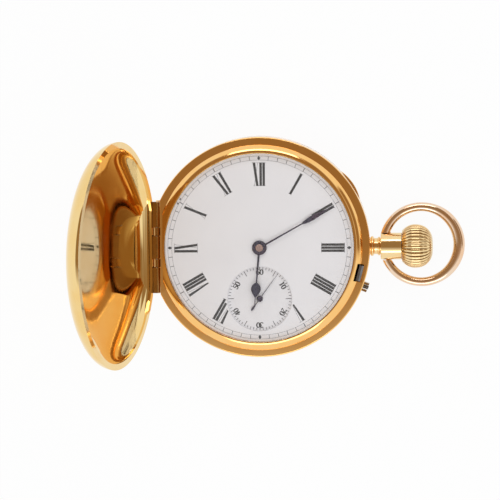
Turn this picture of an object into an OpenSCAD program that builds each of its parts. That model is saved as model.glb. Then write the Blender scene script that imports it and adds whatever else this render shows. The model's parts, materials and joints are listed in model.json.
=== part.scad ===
// Full hunter pocket watch with a lever movement: keyless winding, sunk seconds, front cover open.
// The origin is the middle of the flat on the back cover, +Z comes out through the dial,
// +X points along the pendant at three o'clock and +Y points to twelve o'clock.

/* [Case] */
// Width of the case's ledge, from the bezel to the outside
ledge_w = 1.7; // [1.6:0.05:1.9]
// Height of the back cover, from its flat to the case band
back_h = 2.8; // [2.7:0.1:3.2]
// Height of the case band
band_h = 5.6; // [5.4:0.1:6]
// Wall of the case band
band_t = 1.0; // [0.8:0.1:1.2]
// Height of the front cover's dome
lid_h = 6.1; // [5.6:0.1:6.4]
// Thickness of the sheet of the two outer covers
sheet_t = 0.5; // [0.4:0.05:0.6]
// Radius of the flat on the back cover
back_flat_r = 10; // [8:0.5:12]
// Thickness of the inner dust cover
cuvette_t = 0.4; // [0.3:0.05:0.45]
// Width of the snap rims on the covers
rim_w = 1.4; // [1.2:0.1:1.5]
// Height of the snap rims on the covers
rim_h = 0.5; // [0.4:0.05:0.6]
// Angle that the front cover opens to
lid_open = 104; // [95:1:108]
// Height of the bezel over the case ledge
bezel_h = 1.9; // [1.7:0.1:2.1]
// Width of the bezel, seen from the front
bezel_w = 1.9; // [1.7:0.05:1.95]
// Thickness of the watch glass
glass_t = 0.7; // [0.5:0.05:0.8]
// Rise of the watch glass in its middle
glass_rise = 1.1; // [1:0.05:1.3]

/* [Hinges] */
// Distance from the case's outside to the hinge axes
hinge_inset = 1.7; // [1.6:0.05:1.9]
// Depth of the front cover's hinge axis below the ledge
hinge_drop = 0.85; // [0.8:0.05:1]
// Outside radius of the hinge knuckles
tube_r = 0.65; // [0.55:0.05:0.7]
// Radius of the hinge pins
hinge_pin_r = 0.3; // [0.2:0.05:0.35]
// Length of each of the two long outer knuckles
knuckle_outer = 5.9; // [5.5:0.1:6]
// Length of each of the two short knuckles on the case
knuckle_short = 2.0; // [1.8:0.1:2.2]
// Length of the middle knuckle
knuckle_middle = 5.2; // [4.8:0.1:5.4]
// Gap between two knuckles, end to end
knuckle_gap = 0.06; // [0.04:0.01:0.1]
// Gap round the knuckles
hinge_gap = 0.12; // [0.1:0.01:0.15]

/* [Pendant, crown and bow] */
// Length of the pendant's barrel
barrel_len = 4.8; // [4.4:0.1:5.2]
// Radius of the pendant's barrel
pendant_r = 3.05; // [2.9:0.05:3.2]
// Length of the pendant's neck, from the case to the barrel
neck_len = 2.4; // [2.2:0.1:2.6]
// Radius of the pendant's neck in its groove
neck_r = 1.85; // [1.8:0.05:2]
// Length of the crown
crown_len = 7.0; // [6.4:0.1:7.4]
// Largest radius of the crown
crown_r = 4.95; // [4.6:0.05:5.1]
// Flutes round the crown
flutes = 30; // [24:2:36]
// Depth of the crown's flutes
flute_d = 0.3; // [0.2:0.05:0.4]
// Travel of the crown when it is pressed to free the front cover
push_travel = 0.7; // [0.5:0.05:0.8]
// Radius of the bow, to the middle of its wire
bow_r = 8.57; // [8.4:0.01:8.9]
// Radius of the bow's wire beside the pendant
bow_wire_r = 1.0; // [0.9:0.05:1.1]
// Radius of the bow's wire at its far end
bow_end_r = 1.22; // [1.1:0.02:1.3]
// Radius of the bow's pivots
bow_pin_r = 0.55; // [0.4:0.05:0.6]

/* [Dial and hands] */
// Gap between the dial opening in the bezel and the movement's flange
dial_fit = 0.15; // [0.1:0.05:0.2]
// Thickness of the dial
dial_t = 0.7; // [0.6:0.05:0.75]
// Distance from the dial's middle down to the seconds axis
seconds_y = 11.67; // [11.6:0.01:11.75]
// Radius of the sunk seconds dial
seconds_r = 7.4; // [7.2:0.05:7.6]
// Thickness of the seconds dial
seconds_t = 0.4; // [0.3:0.05:0.4]
// Length of the hour hand
hour_len = 13.6; // [12.5:0.1:14]
// Length of the minute hand
minute_len = 19.5; // [18:0.1:20]
// Length of the seconds hand
second_len = 6.6; // [6:0.1:6.8]
// Length of the seconds hand's tail
second_tail = 3.1; // [2.8:0.1:3.4]
// Thickness of the hour and minute hands
hand_t = 0.16; // [0.12:0.01:0.18]
// Hour that the hands show
show_hour = 6; // [0:1:11]
// Minute that the hands show
show_minute = 10; // [0:1:59]
// Second that the hands show
show_second = 6; // [0:1:59]

/* [Movement] */
// Room between the mainspring barrel and the edge of the movement
rim_room = 3.5; // [3.4:0.05:3.8]
// Width of the flange that the movement rests on
flange_w = 0.85; // [0.8:0.05:1]
// Thickness of the mainplate
plate_t = 2.1; // [2:0.05:2.2]
// Room for the wheels between the mainplate and the bridges
train_gap = 1.9; // [1.9:0.02:2]
// Thickness of the bridges
bridge_t = 0.9; // [0.8:0.05:0.95]
// Thickness of the train wheels
wheel_t = 0.18; // [0.14:0.01:0.2]
// Thickness of the ratchet and crown wheels
wind_t = 0.5; // [0.4:0.02:0.5]
// Radius of the winding stem
stem_r = 0.8; // [0.7:0.02:0.85]
// Radius of the balance wheel's rim
balance_r = 6.6; // [6.4:0.05:6.7]
// Height of the balance wheel's rim
balance_t = 0.6; // [0.5:0.05:0.65]
// Turns of the hairspring
hair_turns = 9; // [7:1:11]
// Radius of the escape wheel
escape_r = 2.3; // [2.2:0.02:2.34]
// Running gap between a wheel or pin and what it turns in
run_gap = 0.05; // [0.03:0.01:0.08]

/* [Hidden] */
$fn = 96;

// Heights of the main levels
rim_z = back_h;
ledge_z = rim_z + band_h;
dial_z0 = ledge_z - 0.1;
dial_z1 = dial_z0 + dial_t;
plate_z0 = dial_z0 - plate_t;
bridge_z1 = plate_z0 - train_gap;
bridge_z0 = bridge_z1 - bridge_t;
seat_z = plate_z0 + 1.2;
glass_z = ledge_z + 1.25;

// Winding: the pinion on the stem meets the crown wheel at right angles
wind_m = 0.25;
ratchet_n = 40;
crown_n = 30;
wpin_n = 15;
wpin_r = wpin_n * wind_m / 2;
stem_z = bridge_z0 + wpin_r + 0.05;
barrel_m = 0.2;
barrel_n = 80;
centre_pn = 10;
barrel_dist = (barrel_n + centre_pn) * barrel_m / 2;
barrel_dir = 60;
barrel_x = barrel_dist * cos(barrel_dir);
barrel_y = barrel_dist * sin(barrel_dir);
wind_dist = (ratchet_n + crown_n) * wind_m / 2;
crown_x = barrel_x + sqrt(wind_dist * wind_dist - barrel_y * barrel_y);
crown_dir = atan2(-barrel_y, crown_x - barrel_x);
wpin_x = crown_x + crown_n * wind_m / 2;
wpin_t = 0.7;

// The case is made round the movement: its radii follow from the barrel outwards
move_r = barrel_dist + barrel_n * barrel_m / 2 + rim_room;
flange_r = move_r + flange_w;
dial_open_r = flange_r + dial_fit;
bezel_r = dial_open_r + bezel_w;
case_r = bezel_r + ledge_w;
band_in_r = case_r - band_t;
seat_r = move_r + 0.2;
lip_r = case_r - rim_w;
low_rim_r = case_r - band_t + 0.1;
cuvette_r = low_rim_r - 0.3;

// Hinges: the axis runs along Y, and everything near it is cut on a straight chord
hinge_x = hinge_inset - case_r;
hinge_z = ledge_z - hinge_drop;
cut_x = hinge_x + tube_r + 0.1;
chord_wall = 0.45;
bezel_cut_x = cut_x + chord_wall + 0.2;
short_y = knuckle_middle / 2;
outer_y = short_y + knuckle_short;
hinge_len = outer_y + knuckle_outer;

// Going train: each pair's distance is half its teeth times its module
centre_m = 0.16;
centre_n = 80;
third_pn = 10;
centre_third = (centre_n + third_pn) * centre_m / 2;
third_m = 0.15;
third_n = 75;
fourth_pn = 10;
third_fourth = (third_n + fourth_pn) * third_m / 2;
fourth_m = 0.11;
fourth_n = 80;
escape_pn = 8;
fourth_escape = (fourth_n + escape_pn) * fourth_m / 2;
third_y = -(centre_third * centre_third - third_fourth * third_fourth + seconds_y * seconds_y)
    / (2 * seconds_y);
third_x = sqrt(centre_third * centre_third - third_y * third_y);
escape_dir = 160;
escape_x = fourth_escape * cos(escape_dir);
escape_y = -seconds_y + fourth_escape * sin(escape_dir);
lever_dir = 133;
pallet_dist = 2.66;
lever_len = 6.5;
pin_circle = 1.2;
pallet_x = escape_x + pallet_dist * cos(lever_dir);
pallet_y = escape_y + pallet_dist * sin(lever_dir);
balance_x = pallet_x + (lever_len + pin_circle) * cos(lever_dir);
balance_y = pallet_y + (lever_len + pin_circle) * sin(lever_dir);

// Motion work under the dial, twelve to one
cannon_n = 12;
minute_wn = 36;
minute_pn = 10;
hour_n = 40;
motion_m = 0.125;
motion_dist = (cannon_n + minute_wn) * motion_m / 2;
hour_m = motion_dist * 2 / (minute_pn + hour_n);
motion_dir = 150;
motion_x = motion_dist * cos(motion_dir);
motion_y = motion_dist * sin(motion_dir);

// Levels of the wheels, counted from the bridges
centre_wz = bridge_z1 + 0.12;
third_wz = bridge_z1 + 0.85;
fourth_wz = bridge_z1 + 0.2;
escape_wz = plate_z0 - 0.55;
barrel_z0 = bridge_z1 + 0.5;
barrel_h = 2.1;
hair_z = bridge_z1 + 0.12;
balance_z = bridge_z1 + 0.5;
fork_z = plate_z0 - 0.55;
fork_t = 0.2;
motion_z = seat_z + 0.05;

// Bridge feet and their screws
foot_r = 1.25;
screw_r = 0.5;
head_r = 1.0;
head_t = 0.35;
function foot(inset, a) = [(move_r - inset) * cos(a), (move_r - inset) * sin(a)];
barrel_feet = [foot(2.5, 17.4), foot(1.6, 60.2), foot(4.2, 117.4), foot(2.95, 150.7)];
train_feet = [foot(3.7, -34.8), foot(2.8, -68.1), foot(2.8, -108.4)];
cock_foot = foot(1.45, -140.1);

// Crown, bow and pendant along X
neck_x = case_r + 0.2;
barrel_px = neck_x + neck_len - 0.2;
pendant_x = barrel_px + barrel_len;
crown_x0 = pendant_x + 0.05;
skirt_in_r = pendant_r + 0.12;
bow_x = crown_x0 + 4.5;
bow_gap = 0.1;
bow_pivot_x = bow_x - sqrt(bow_r * bow_r - (pendant_r + bow_gap) * (pendant_r + bow_gap)) + 0.35;

// Hands
hour_angle = 30 * show_hour + show_minute / 2 + show_second / 120;
minute_angle = 6 * show_minute + show_second / 10;
second_angle = 6 * show_second;
hour_hz = dial_z1 + 0.2;
minute_hz = hour_hz + hand_t + 0.14;
second_hz = dial_z0 + 0.25;
second_t = 0.12;
hub_r = 1.67;

// Turns a child drawn along +X to the clock angle a, counted from twelve
module clock(a) rotate([0, 0, 90 - a]) children();

// Points of an arc
function arc(cx, cy, r, a0, a1, n) =
    [for (i = [0:n]) [cx + r * cos(a0 + (a1 - a0) * i / n), cy + r * sin(a0 + (a1 - a0) * i / n)]];

// Outline of a squarish dome, from its top to its rim
function dome_pts(r, h, n = 20) =
    [for (i = [0:n]) [r * sqrt(sin(90 * i / n)), h * cos(90 * i / n)]];

// Outline of one spur gear, four points to a tooth
function gear_pts(n, m, add, ded) =
    [for (i = [0:n - 1]) for (k = [0:3])
        let (p = 360 / n, r = n * m / 2,
            a = i * p + [-0.3, -0.13, 0.13, 0.3][k] * p,
            q = (k == 1 || k == 2) ? r + add * m : r - ded * m)
        [q * cos(a), q * sin(a)]];

// Angle of a gear's tooth when it is in mesh with another one in direction dir from it
function mesh(dir, n_a, phase_a, n_b) =
    dir + 180 + ((dir - phase_a) * n_a / 360 + 0.5) * 360 / n_b;

module gear(n, m, t, phase, add = 0.9, ded = 1.15)
    rotate([0, 0, phase]) linear_extrude(t) polygon(gear_pts(n, m, add, ded));

// A toothed wheel with arms
module crossed_wheel(n, m, t, phase, arms, hub, rim) {
    r = n * m / 2 - 1.15 * m - rim;
    difference() {
        gear(n, m, t, phase);
        translate([0, 0, -1]) linear_extrude(t + 2) difference() {
            circle(r);
            circle(hub);
            for (i = [0:arms - 1]) rotate([0, 0, i * 360 / arms])
                translate([0, -hub * 0.3]) square([r + 1, hub * 0.6]);
        }
    }
}

module x_cyl(r, x0, x1) translate([x0, 0, 0]) rotate([0, 90, 0]) cylinder(r = r, h = x1 - x0);

module y_cyl(r, y0, y1) translate([0, y0, 0]) rotate([-90, 0, 0]) cylinder(r = r, h = y1 - y0);

module tube(r_out, r_in, h) difference() {
    cylinder(r = r_out, h = h);
    translate([0, 0, -1]) cylinder(r = r_in, h = h + 2);
}

// Everything to the right of a chord
module right_of(x) translate([x, -40, -10]) cube([100, 80, 40]);

// Hinge knuckles along Y, on both sides of the middle
module knuckles(y0, y1) {
    y_cyl(tube_r, y0 + knuckle_gap / 2, y1 - knuckle_gap / 2);
    y_cyl(tube_r, -y1 + knuckle_gap / 2, -y0 - knuckle_gap / 2);
}

module knuckle_webs(x0, x1, z0, z1, y0, y1) for (s = [-1, 1])
    translate([x0, s > 0 ? y0 + knuckle_gap / 2 : -y1 + knuckle_gap / 2, z0])
        cube([x1 - x0, y1 - y0 - knuckle_gap, z1 - z0]);

module hinge_relief() {
    y_cyl(tube_r + hinge_gap, -hinge_len - 0.15, hinge_len + 0.15);
    translate([-5, -hinge_len - 0.15, -tube_r - hinge_gap])
        cube([5, 2 * hinge_len + 0.3, 2 * (tube_r + hinge_gap)]);
}

module pin_bore() y_cyl(hinge_pin_r, -hinge_len - 1, hinge_len + 1);

// Case band, ledge, movement seat and the lower ring
catch_a = -14.4;
catch_len = 4.1;
nose_travel = 0.45;
nose_r0 = lip_r - 0.65;
nose_r1 = lip_r + 0.3;
catch_r0 = nose_r0 - nose_travel - 0.1;
catch_r1 = lip_r + 0.7;
pin_a = -21.2;
pin_r = 0.42;
pin_out = 1.35;
lock_slot_w = catch_r1 - catch_r0;
slot_below = 2;

module case_band() difference() {
    rotate_extrude() polygon(concat(
        [[seat_r, plate_z0], [band_in_r - 0.4, plate_z0 - 0.3], [band_in_r, plate_z0 - 1.1],
         [band_in_r, rim_z + 0.85], [cuvette_r - 1.1, rim_z + 0.6], [cuvette_r - 1.1, rim_z]],
        arc(case_r - 0.3, rim_z + 0.3, 0.3, -90, 0, 4),
        arc(case_r - 0.3, ledge_z - 0.3, 0.3, 0, 90, 4),
        [[dial_open_r, ledge_z], [dial_open_r, seat_z], [seat_r, seat_z]]));
    translate([hinge_x, 0, hinge_z]) hinge_relief();
    translate([hinge_x, 0, rim_z]) hinge_relief();
    translate([hinge_x - 5, -hinge_len - 0.15, hinge_z])
        cube([5 + tube_r + hinge_gap, 2 * hinge_len + 0.3, hinge_drop + 1]);
    translate([0, 0, stem_z]) {
        x_cyl(stem_r + 0.3, seat_r - 2.7, case_r + 1);
        x_cyl(neck_r + 0.15, band_in_r, case_r + 1);
        rotate([0, 0, pin_a]) x_cyl(pin_r + run_gap, seat_r - 0.7, case_r + 1);
    }
    rotate([0, 0, catch_a]) translate([catch_r0, -catch_len / 2, plate_z0 - slot_below])
        cube([lock_slot_w, catch_len, ledge_z - plate_z0 + slot_below + 1]);
}

module case_knuckles() difference() {
    union() {
        translate([hinge_x, 0, hinge_z]) knuckles(short_y, outer_y);
        translate([hinge_x, 0, hinge_z])
            knuckle_webs(-tube_r * 0.8, tube_r * 0.8, -1.2, 0, short_y, outer_y);
        translate([hinge_x, 0, rim_z]) knuckles(short_y, outer_y);
        translate([hinge_x, 0, rim_z])
            knuckle_webs(-tube_r * 0.8, tube_r * 0.8, 0, 1.2, short_y, outer_y);
    }
    translate([hinge_x, 0, hinge_z]) pin_bore();
    translate([hinge_x, 0, rim_z]) pin_bore();
}

module case_middle() color("goldenrod") {
    case_band();
    case_knuckles();
}

// Pendant: a tenon in the band, a neck with two beads and the barrel
module pendant() color("gold") translate([0, 0, stem_z]) difference() {
    rotate([90, 0, 90]) rotate_extrude() polygon(concat(
        [[stem_r + 0.15, band_in_r], [neck_r + 0.15, band_in_r], [neck_r + 0.15, neck_x - 0.1]],
        arc(neck_r + 0.1, neck_x + 0.3, 0.35, -80, 80, 6),
        [[neck_r, neck_x + 0.8], [neck_r, barrel_px - 0.75]],
        arc(neck_r, barrel_px - 0.4, 0.3, -90, 90, 6),
        [[neck_r, barrel_px], [pendant_r - 0.15, barrel_px], [pendant_r, barrel_px + 0.15],
         [pendant_r, pendant_x - 0.15], [pendant_r - 0.15, pendant_x],
         [sleeve_r + run_gap, pendant_x], [sleeve_r + run_gap, sleeve_x0 - push_travel - 0.1],
         [stem_r + 0.15, sleeve_x0 - push_travel - 0.1]]));
    translate([bow_pivot_x, 0, 0]) y_cyl(bow_pin_r + run_gap, -5, 5);
}

sleeve_r = 1.65;
sleeve_x0 = barrel_px + 0.2;
stem_hold_r = stem_r + 0.02;

// Sleeve in the pendant that carries the crown and its stem
module crown_sleeve() color("silver") translate([0, 0, stem_z])
    rotate([90, 0, 90]) rotate_extrude() polygon([[stem_hold_r, sleeve_x0], [1.15, sleeve_x0],
        [1.15, bow_pivot_x + 1.2], [sleeve_r, bow_pivot_x + 1.2], [sleeve_r, crown_x0 + 0.75],
        [stem_hold_r, crown_x0 + 0.75]]);

// Radius of the crown's outside at a share u of its length
function crown_out(u) = u < 0.42
    ? crown_r - (crown_r - 3.55) * pow((0.42 - u) / 0.42, 2.2)
    : 1.1 + (crown_r - 1.1) * sqrt(max(0, 1 - pow((u - 0.42) / 0.58, 2.3)));

crown_rings = 12;
crown_side = 4;
function crown_pts() = [for (i = [0:crown_rings])
    let (u = i / crown_rings, r = crown_out(u), f = sin(180 * min(1, max(0, (u - 0.02) / 1.0))))
    for (k = [0:flutes * crown_side - 1])
        let (a = 360 * k / (flutes * crown_side),
            q = r - flute_d * pow(f, 0.6) * (1 - pow(abs(cos(a * flutes / 2)), 0.7)))
        [crown_x0 + u * crown_len, q * cos(a), q * sin(a)]];

module crown() color("gold") translate([0, 0, stem_z]) difference() {
    n = flutes * crown_side;
    polyhedron(crown_pts(), concat(
        [for (i = [0:crown_rings - 1]) for (k = [0:n - 1])
            [i * n + k, i * n + (k + 1) % n, (i + 1) * n + (k + 1) % n]],
        [for (i = [0:crown_rings - 1]) for (k = [0:n - 1])
            [i * n + k, (i + 1) * n + (k + 1) % n, (i + 1) * n + k]],
        [[for (k = [0:n - 1]) n - 1 - k], [for (k = [0:n - 1]) crown_rings * n + k]]));
    x_cyl(skirt_in_r, crown_x0 - 1, crown_x0 + push_travel + 0.2);
    x_cyl(stem_r, crown_x0, crown_x0 + 4);
}

// Winding stem: round in the crown and the plate, square through the winding pinion
stem_sq = 0.5;
module winding_stem() color("slategray") translate([0, 0, stem_z]) {
    x_cyl(stem_r, wpin_x + 1.1, crown_x0 + 4);
    translate([wpin_x - 1.5, -stem_sq, -stem_sq]) cube([2.6, 2 * stem_sq, 2 * stem_sq]);
    x_cyl(0.4, wpin_x - 2.2, wpin_x - 1.5);
}

module winding_pinion() color("lightsteelblue") translate([wpin_x - wpin_t / 2, 0, stem_z])
    rotate([0, 90, 0]) difference() {
        gear(wpin_n, wind_m, wpin_t, 0);
        translate([-stem_sq - run_gap, -stem_sq - run_gap, -1])
            cube([2 * (stem_sq + run_gap), 2 * (stem_sq + run_gap), 3]);
    }

// Bow: an open ring whose wire swells towards its far end, on two pivots
bow_end_y = pendant_r + bow_gap;
bow_steps = 56;
bow_sides = 14;
function bow_wire(a) = bow_wire_r + (bow_end_r - bow_wire_r) * pow(max(0, cos(a)), 1.5);
function bow_pts() = [for (i = [0:bow_steps]) for (k = [0:bow_sides - 1])
    let (b = 360 * k / bow_sides, a_end = 180 - asin(bow_end_y / (bow_r + bow_wire_r * cos(b))),
        a = a_end * (2 * i / bow_steps - 1), w = bow_wire(a), q = bow_r + w * cos(b))
    [q * cos(a), q * sin(a), w * sin(b)]];

module bow_ring() polyhedron(bow_pts(), concat(
    [for (i = [0:bow_steps - 1]) for (k = [0:bow_sides - 1])
        [i * bow_sides + k, (i + 1) * bow_sides + k, (i + 1) * bow_sides + (k + 1) % bow_sides]],
    [for (i = [0:bow_steps - 1]) for (k = [0:bow_sides - 1])
        [i * bow_sides + k, (i + 1) * bow_sides + (k + 1) % bow_sides,
         i * bow_sides + (k + 1) % bow_sides]],
    [[for (k = [0:bow_sides - 1]) k],
     [for (k = [0:bow_sides - 1]) bow_steps * bow_sides + bow_sides - 1 - k]]));

module bow() color("darkgoldenrod") difference() {
    translate([bow_x, 0, stem_z]) bow_ring();
    translate([bow_pivot_x, 0, stem_z]) y_cyl(bow_pin_r, -bow_end_y - 0.7, bow_end_y + 0.7);
}

// Two pins that the bow turns on, held in its ends
module bow_pins() color("gold") for (s = [-1, 1]) translate([bow_pivot_x, 0, stem_z])
    y_cyl(bow_pin_r, s > 0 ? sleeve_r + 0.3 : -bow_end_y - 0.7,
        s > 0 ? bow_end_y + 0.7 : -sleeve_r - 0.3);

// Bezel with the glass in its rebate
glass_edge_r = dial_open_r + 0.35;
module bezel() color("gold") intersection() {
    rotate_extrude() polygon(concat(
        [[dial_open_r, ledge_z], [bezel_r, ledge_z], [bezel_r, ledge_z + 0.4]],
        arc(bezel_r - 1.0, ledge_z + 0.4, 1.0, 15, 60, 3),
        [[glass_edge_r + 0.45, ledge_z + bezel_h], [glass_edge_r + 0.05, ledge_z + bezel_h - 0.1],
         [glass_edge_r, glass_z], [dial_open_r, glass_z]]));
    difference() {
        right_of(bezel_cut_x);
        rotate([0, 0, catch_a]) translate([catch_r0, -catch_len / 2, 0])
            cube([5, catch_len, 30]);
    }
}

function cap_radius(r, rise) = (r * r + rise * rise) / (2 * rise);
module crystal() color([0.85, 0.93, 0.97, 0.4]) {
    big = cap_radius(dial_open_r, glass_rise);
    translate([0, 0, glass_z]) intersection() {
        cylinder(r = glass_edge_r - 0.02, h = 5);
        difference() {
            translate([0, 0, glass_rise + glass_t - big - glass_t])
                sphere_cap(big + glass_t);
            translate([0, 0, glass_rise - big]) sphere_cap(big);
        }
    }
}

// Upper part of a large ball, by revolving an arc
module sphere_cap(r) rotate_extrude() intersection() {
    circle(r = r, $fn = 720);
    translate([0, r - 3]) square([glass_edge_r + 2, 4]);
}

module dial() color("ivory") translate([0, 0, dial_z0]) difference() {
    cylinder(r = flange_r - 0.05, h = dial_t);
    translate([0, 0, -1]) cylinder(r = 1.35, h = 3);
    translate([0, -seconds_y, -1]) cylinder(r = seconds_r, h = 3);
}

module seconds_dial() color("ivory") translate([0, -seconds_y, dial_z0 - seconds_t])
    tube(seconds_r + 0.45, 0.45, seconds_t);

// Hinge pins and springs
module lid_hinge_pin() color("silver") translate([hinge_x, 0, hinge_z])
    y_cyl(hinge_pin_r, -hinge_len + 0.1, hinge_len - 0.1);

module back_hinge_pin() color("silver") translate([hinge_x, 0, rim_z])
    y_cyl(hinge_pin_r, -hinge_len + 0.1, hinge_len - 0.1);

spring_r = band_in_r - 0.25;
spring_w = 0.55;
spring_h = 1.0;
spring_z = stem_z - pin_r - 0.2 - spring_h;

// A flat spring bent along the inside of the band, from one angle to another
module band_spring(a0, a1, inset) {
    n = 18;
    translate([0, 0, spring_z]) linear_extrude(spring_h) polygon(concat(
        [for (i = [0:n]) let (a = a0 + (a1 - a0) * i / n)
            [(spring_r - inset * i / n) * cos(a), (spring_r - inset * i / n) * sin(a)]],
        [for (i = [n:-1:0]) let (a = a0 + (a1 - a0) * i / n, r = spring_r - spring_w - inset * i / n)
            [r * cos(a), r * sin(a)]]));
}

module lift_spring() color("slategray") band_spring(110, 165, 0.3);

// Lock spring with the catch nose that holds the front cover
nose_gap = 0.12;
nose_t = 0.5;
nose_len = catch_len - 0.5;
module lock_spring() color("dimgray") {
    band_spring(catch_a - 64, catch_a - 2, spring_r - nose_r0 - nose_t);
    rotate([0, 0, catch_a]) {
        translate([nose_r0, -nose_len / 2, spring_z]) cube([nose_t, nose_len, ledge_z + 0.9 - spring_z]);
        difference() {
            translate([nose_r0, -nose_len / 2, ledge_z + rim_h + nose_gap])
                cube([nose_r1 - nose_r0, nose_len, 0.6]);
            translate([nose_r1, -5, ledge_z + rim_h + nose_gap + 0.25]) rotate([0, -50, 0])
                cube([2, 10, 2]);
        }
    }
}

module set_pin() color("dimgray") rotate([0, 0, pin_a]) translate([0, 0, stem_z]) {
    x_cyl(pin_r, band_in_r - 1.6, case_r + pin_out);
    x_cyl(pin_r + 0.12, band_in_r - 1.1, band_in_r - 0.75);
}

// Two ears beside the set pin
module pin_guards() color("gold") rotate([0, 0, pin_a]) translate([0, 0, stem_z]) difference() {
    for (s = [-1, 1]) translate([case_r - 0.5, s * 0.8 - 0.25, -0.95])
        cube([pin_out + 0.35, 0.5, 1.9]);
    rotate([0, 0, -pin_a]) translate([0, 0, -5]) cylinder(r = case_r, h = 10);
}

// Mainplate with its flange, the stem bearing, the barrel sink and the motion work sink
stem_block_w = 3.8;
module mainplate() color("khaki") difference() {
    union() {
        translate([0, 0, plate_z0]) cylinder(r = move_r, h = seat_z - plate_z0);
        translate([0, 0, seat_z]) cylinder(r = flange_r, h = dial_z0 - seat_z);
        intersection() {
            translate([wpin_x + 1.55, -stem_block_w / 2, bridge_z1])
                cube([move_r, stem_block_w, train_gap + 0.1]);
            cylinder(r = move_r - 0.3, h = 10);
        }
        for (f = pallet_feet) translate([f[0], f[1], pallet_cz + pallet_ct])
            cylinder(r = 0.7, h = plate_z0 - pallet_cz - pallet_ct + 0.1);
    }
    translate([0, 0, stem_z]) {
        x_cyl(stem_r + run_gap, wpin_x, case_r);
        x_cyl(wpin_r + 0.6, wpin_x - 0.8, wpin_x + 0.8);
    }
    translate([barrel_x, barrel_y, 0]) cylinder(r = sink_r, h = barrel_z0 + barrel_h + 0.1);
    translate([barrel_x, barrel_y, 0]) cylinder(r = 0.6 + run_gap, h = 20);
    translate([0, 0, seat_z]) cylinder(r = hour_n * hour_m / 2 + 0.4, h = 5);
    translate([motion_x, motion_y, seat_z]) cylinder(r = minute_wn * motion_m / 2 + 0.4, h = 5);
    translate([0, -seconds_y, dial_z0 - seconds_t]) cylinder(r = seconds_r + 0.5, h = 5);
    cylinder(r = 0.45 + run_gap, h = 20);
    translate([0, -seconds_y, 0]) cylinder(r = 0.3 + run_gap, h = 20);
    translate([third_x, third_y, 0]) cylinder(r = 0.15, h = plate_z0 + 0.8);
    translate([escape_x, escape_y, 0]) cylinder(r = 0.12, h = plate_z0 + 0.8);
    translate([pallet_x, pallet_y, 0]) cylinder(r = 0.12, h = plate_z0 + 0.8);
    translate([balance_x, balance_y, 0]) cylinder(r = 0.12, h = plate_z0 + 0.8);
    for (f = concat(barrel_feet, train_feet, [cock_foot])) translate([f[0], f[1], 0])
        cylinder(r = screw_r, h = plate_z0 + 1.1);
    for (f = case_screw_at) translate([f[0], f[1], 0]) cylinder(r = screw_r, h = plate_z0 + 1.1);
}

sink_r = barrel_n * barrel_m / 2 + 0.33;
pallet_cz = balance_z + 0.05;
pallet_ct = 0.5;
pallet_foot = 2.6;
pallet_feet = [for (s = [-1, 1])
    [pallet_x + s * pallet_foot * cos(lever_dir + 90), pallet_y + s * pallet_foot * sin(lever_dir + 90)]];
case_screw_at = [for (a = [100, 280]) [(move_r - 0.75) * cos(a), (move_r - 0.75) * sin(a)]];

// Outline of the barrel bridge and of the train bridge, with a gap between them
bridge_r = move_r - 0.35;
split_y = 3.2;
split_x = 2.6;
low_y = -4.9;
far = 30;
module barrel_bridge_2d() intersection() {
    circle(bridge_r);
    polygon([[-far, split_y], [split_x, split_y], [crown_x - 4.6, low_y], [far, low_y],
        [far, far], [-far, far]]);
}

module train_bridge_2d() difference() {
    intersection() {
        circle(bridge_r);
        polygon([[-3.2, split_y - 0.35], [split_x - 0.35, split_y - 0.35],
            [crown_x - 4.95, low_y - 0.35], [far, low_y - 0.35], [far, -far], [-9, -far]]);
    }
    translate([balance_x, balance_y]) circle(balance_r + 1.1);
}

module screw_bores(feet) for (f = feet) translate([f[0], f[1], bridge_z0]) {
    translate([0, 0, -1]) cylinder(r = screw_r, h = 10);
    translate([0, 0, -1]) cylinder(r = head_r + run_gap, h = 1 + head_t);
}

module bridge_feet(feet) for (f = feet) translate([f[0], f[1], bridge_z1 - 0.1])
    cylinder(r = foot_r, h = train_gap + 0.1);

module barrel_bridge() color("khaki") difference() {
    union() {
        translate([0, 0, bridge_z0]) linear_extrude(bridge_t) barrel_bridge_2d();
        bridge_feet(barrel_feet);
    }
    screw_bores(barrel_feet);
    translate([barrel_x, barrel_y, 0]) cylinder(r = 1.2 + run_gap, h = 10);
    translate([crown_x, 0, 0]) cylinder(r = 0.6, h = 10);
    translate([wpin_x - 0.7, -wpin_r - 0.7, 0]) cube([1.4, 2 * wpin_r + 1.4, 10]);
    translate([wpin_x, -stem_r - 0.4, bridge_z1 - 0.4]) cube([10, 2 * stem_r + 0.8, 5]);
    translate([click_x, click_y, 0]) cylinder(r = 0.35, h = 10);
}

jewel_at = [[0, 0], [third_x, third_y], [0, -seconds_y], [escape_x, escape_y]];
jewel_r = 0.75;
module train_bridge() color("khaki") difference() {
    union() {
        translate([0, 0, bridge_z0]) linear_extrude(bridge_t) train_bridge_2d();
        bridge_feet(train_feet);
    }
    screw_bores(train_feet);
    for (j = jewel_at) translate([j[0], j[1], 0]) {
        cylinder(r = 0.35, h = 10);
        cylinder(r = jewel_r, h = bridge_z0 + 0.4);
    }
}

module jewels() color("crimson") {
    for (j = jewel_at) translate([j[0], j[1], bridge_z0]) tube(jewel_r, 0.17, 0.4);
    translate([balance_x, balance_y, bridge_z0]) tube(jewel_r, 0.17, 0.4);
}

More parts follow.
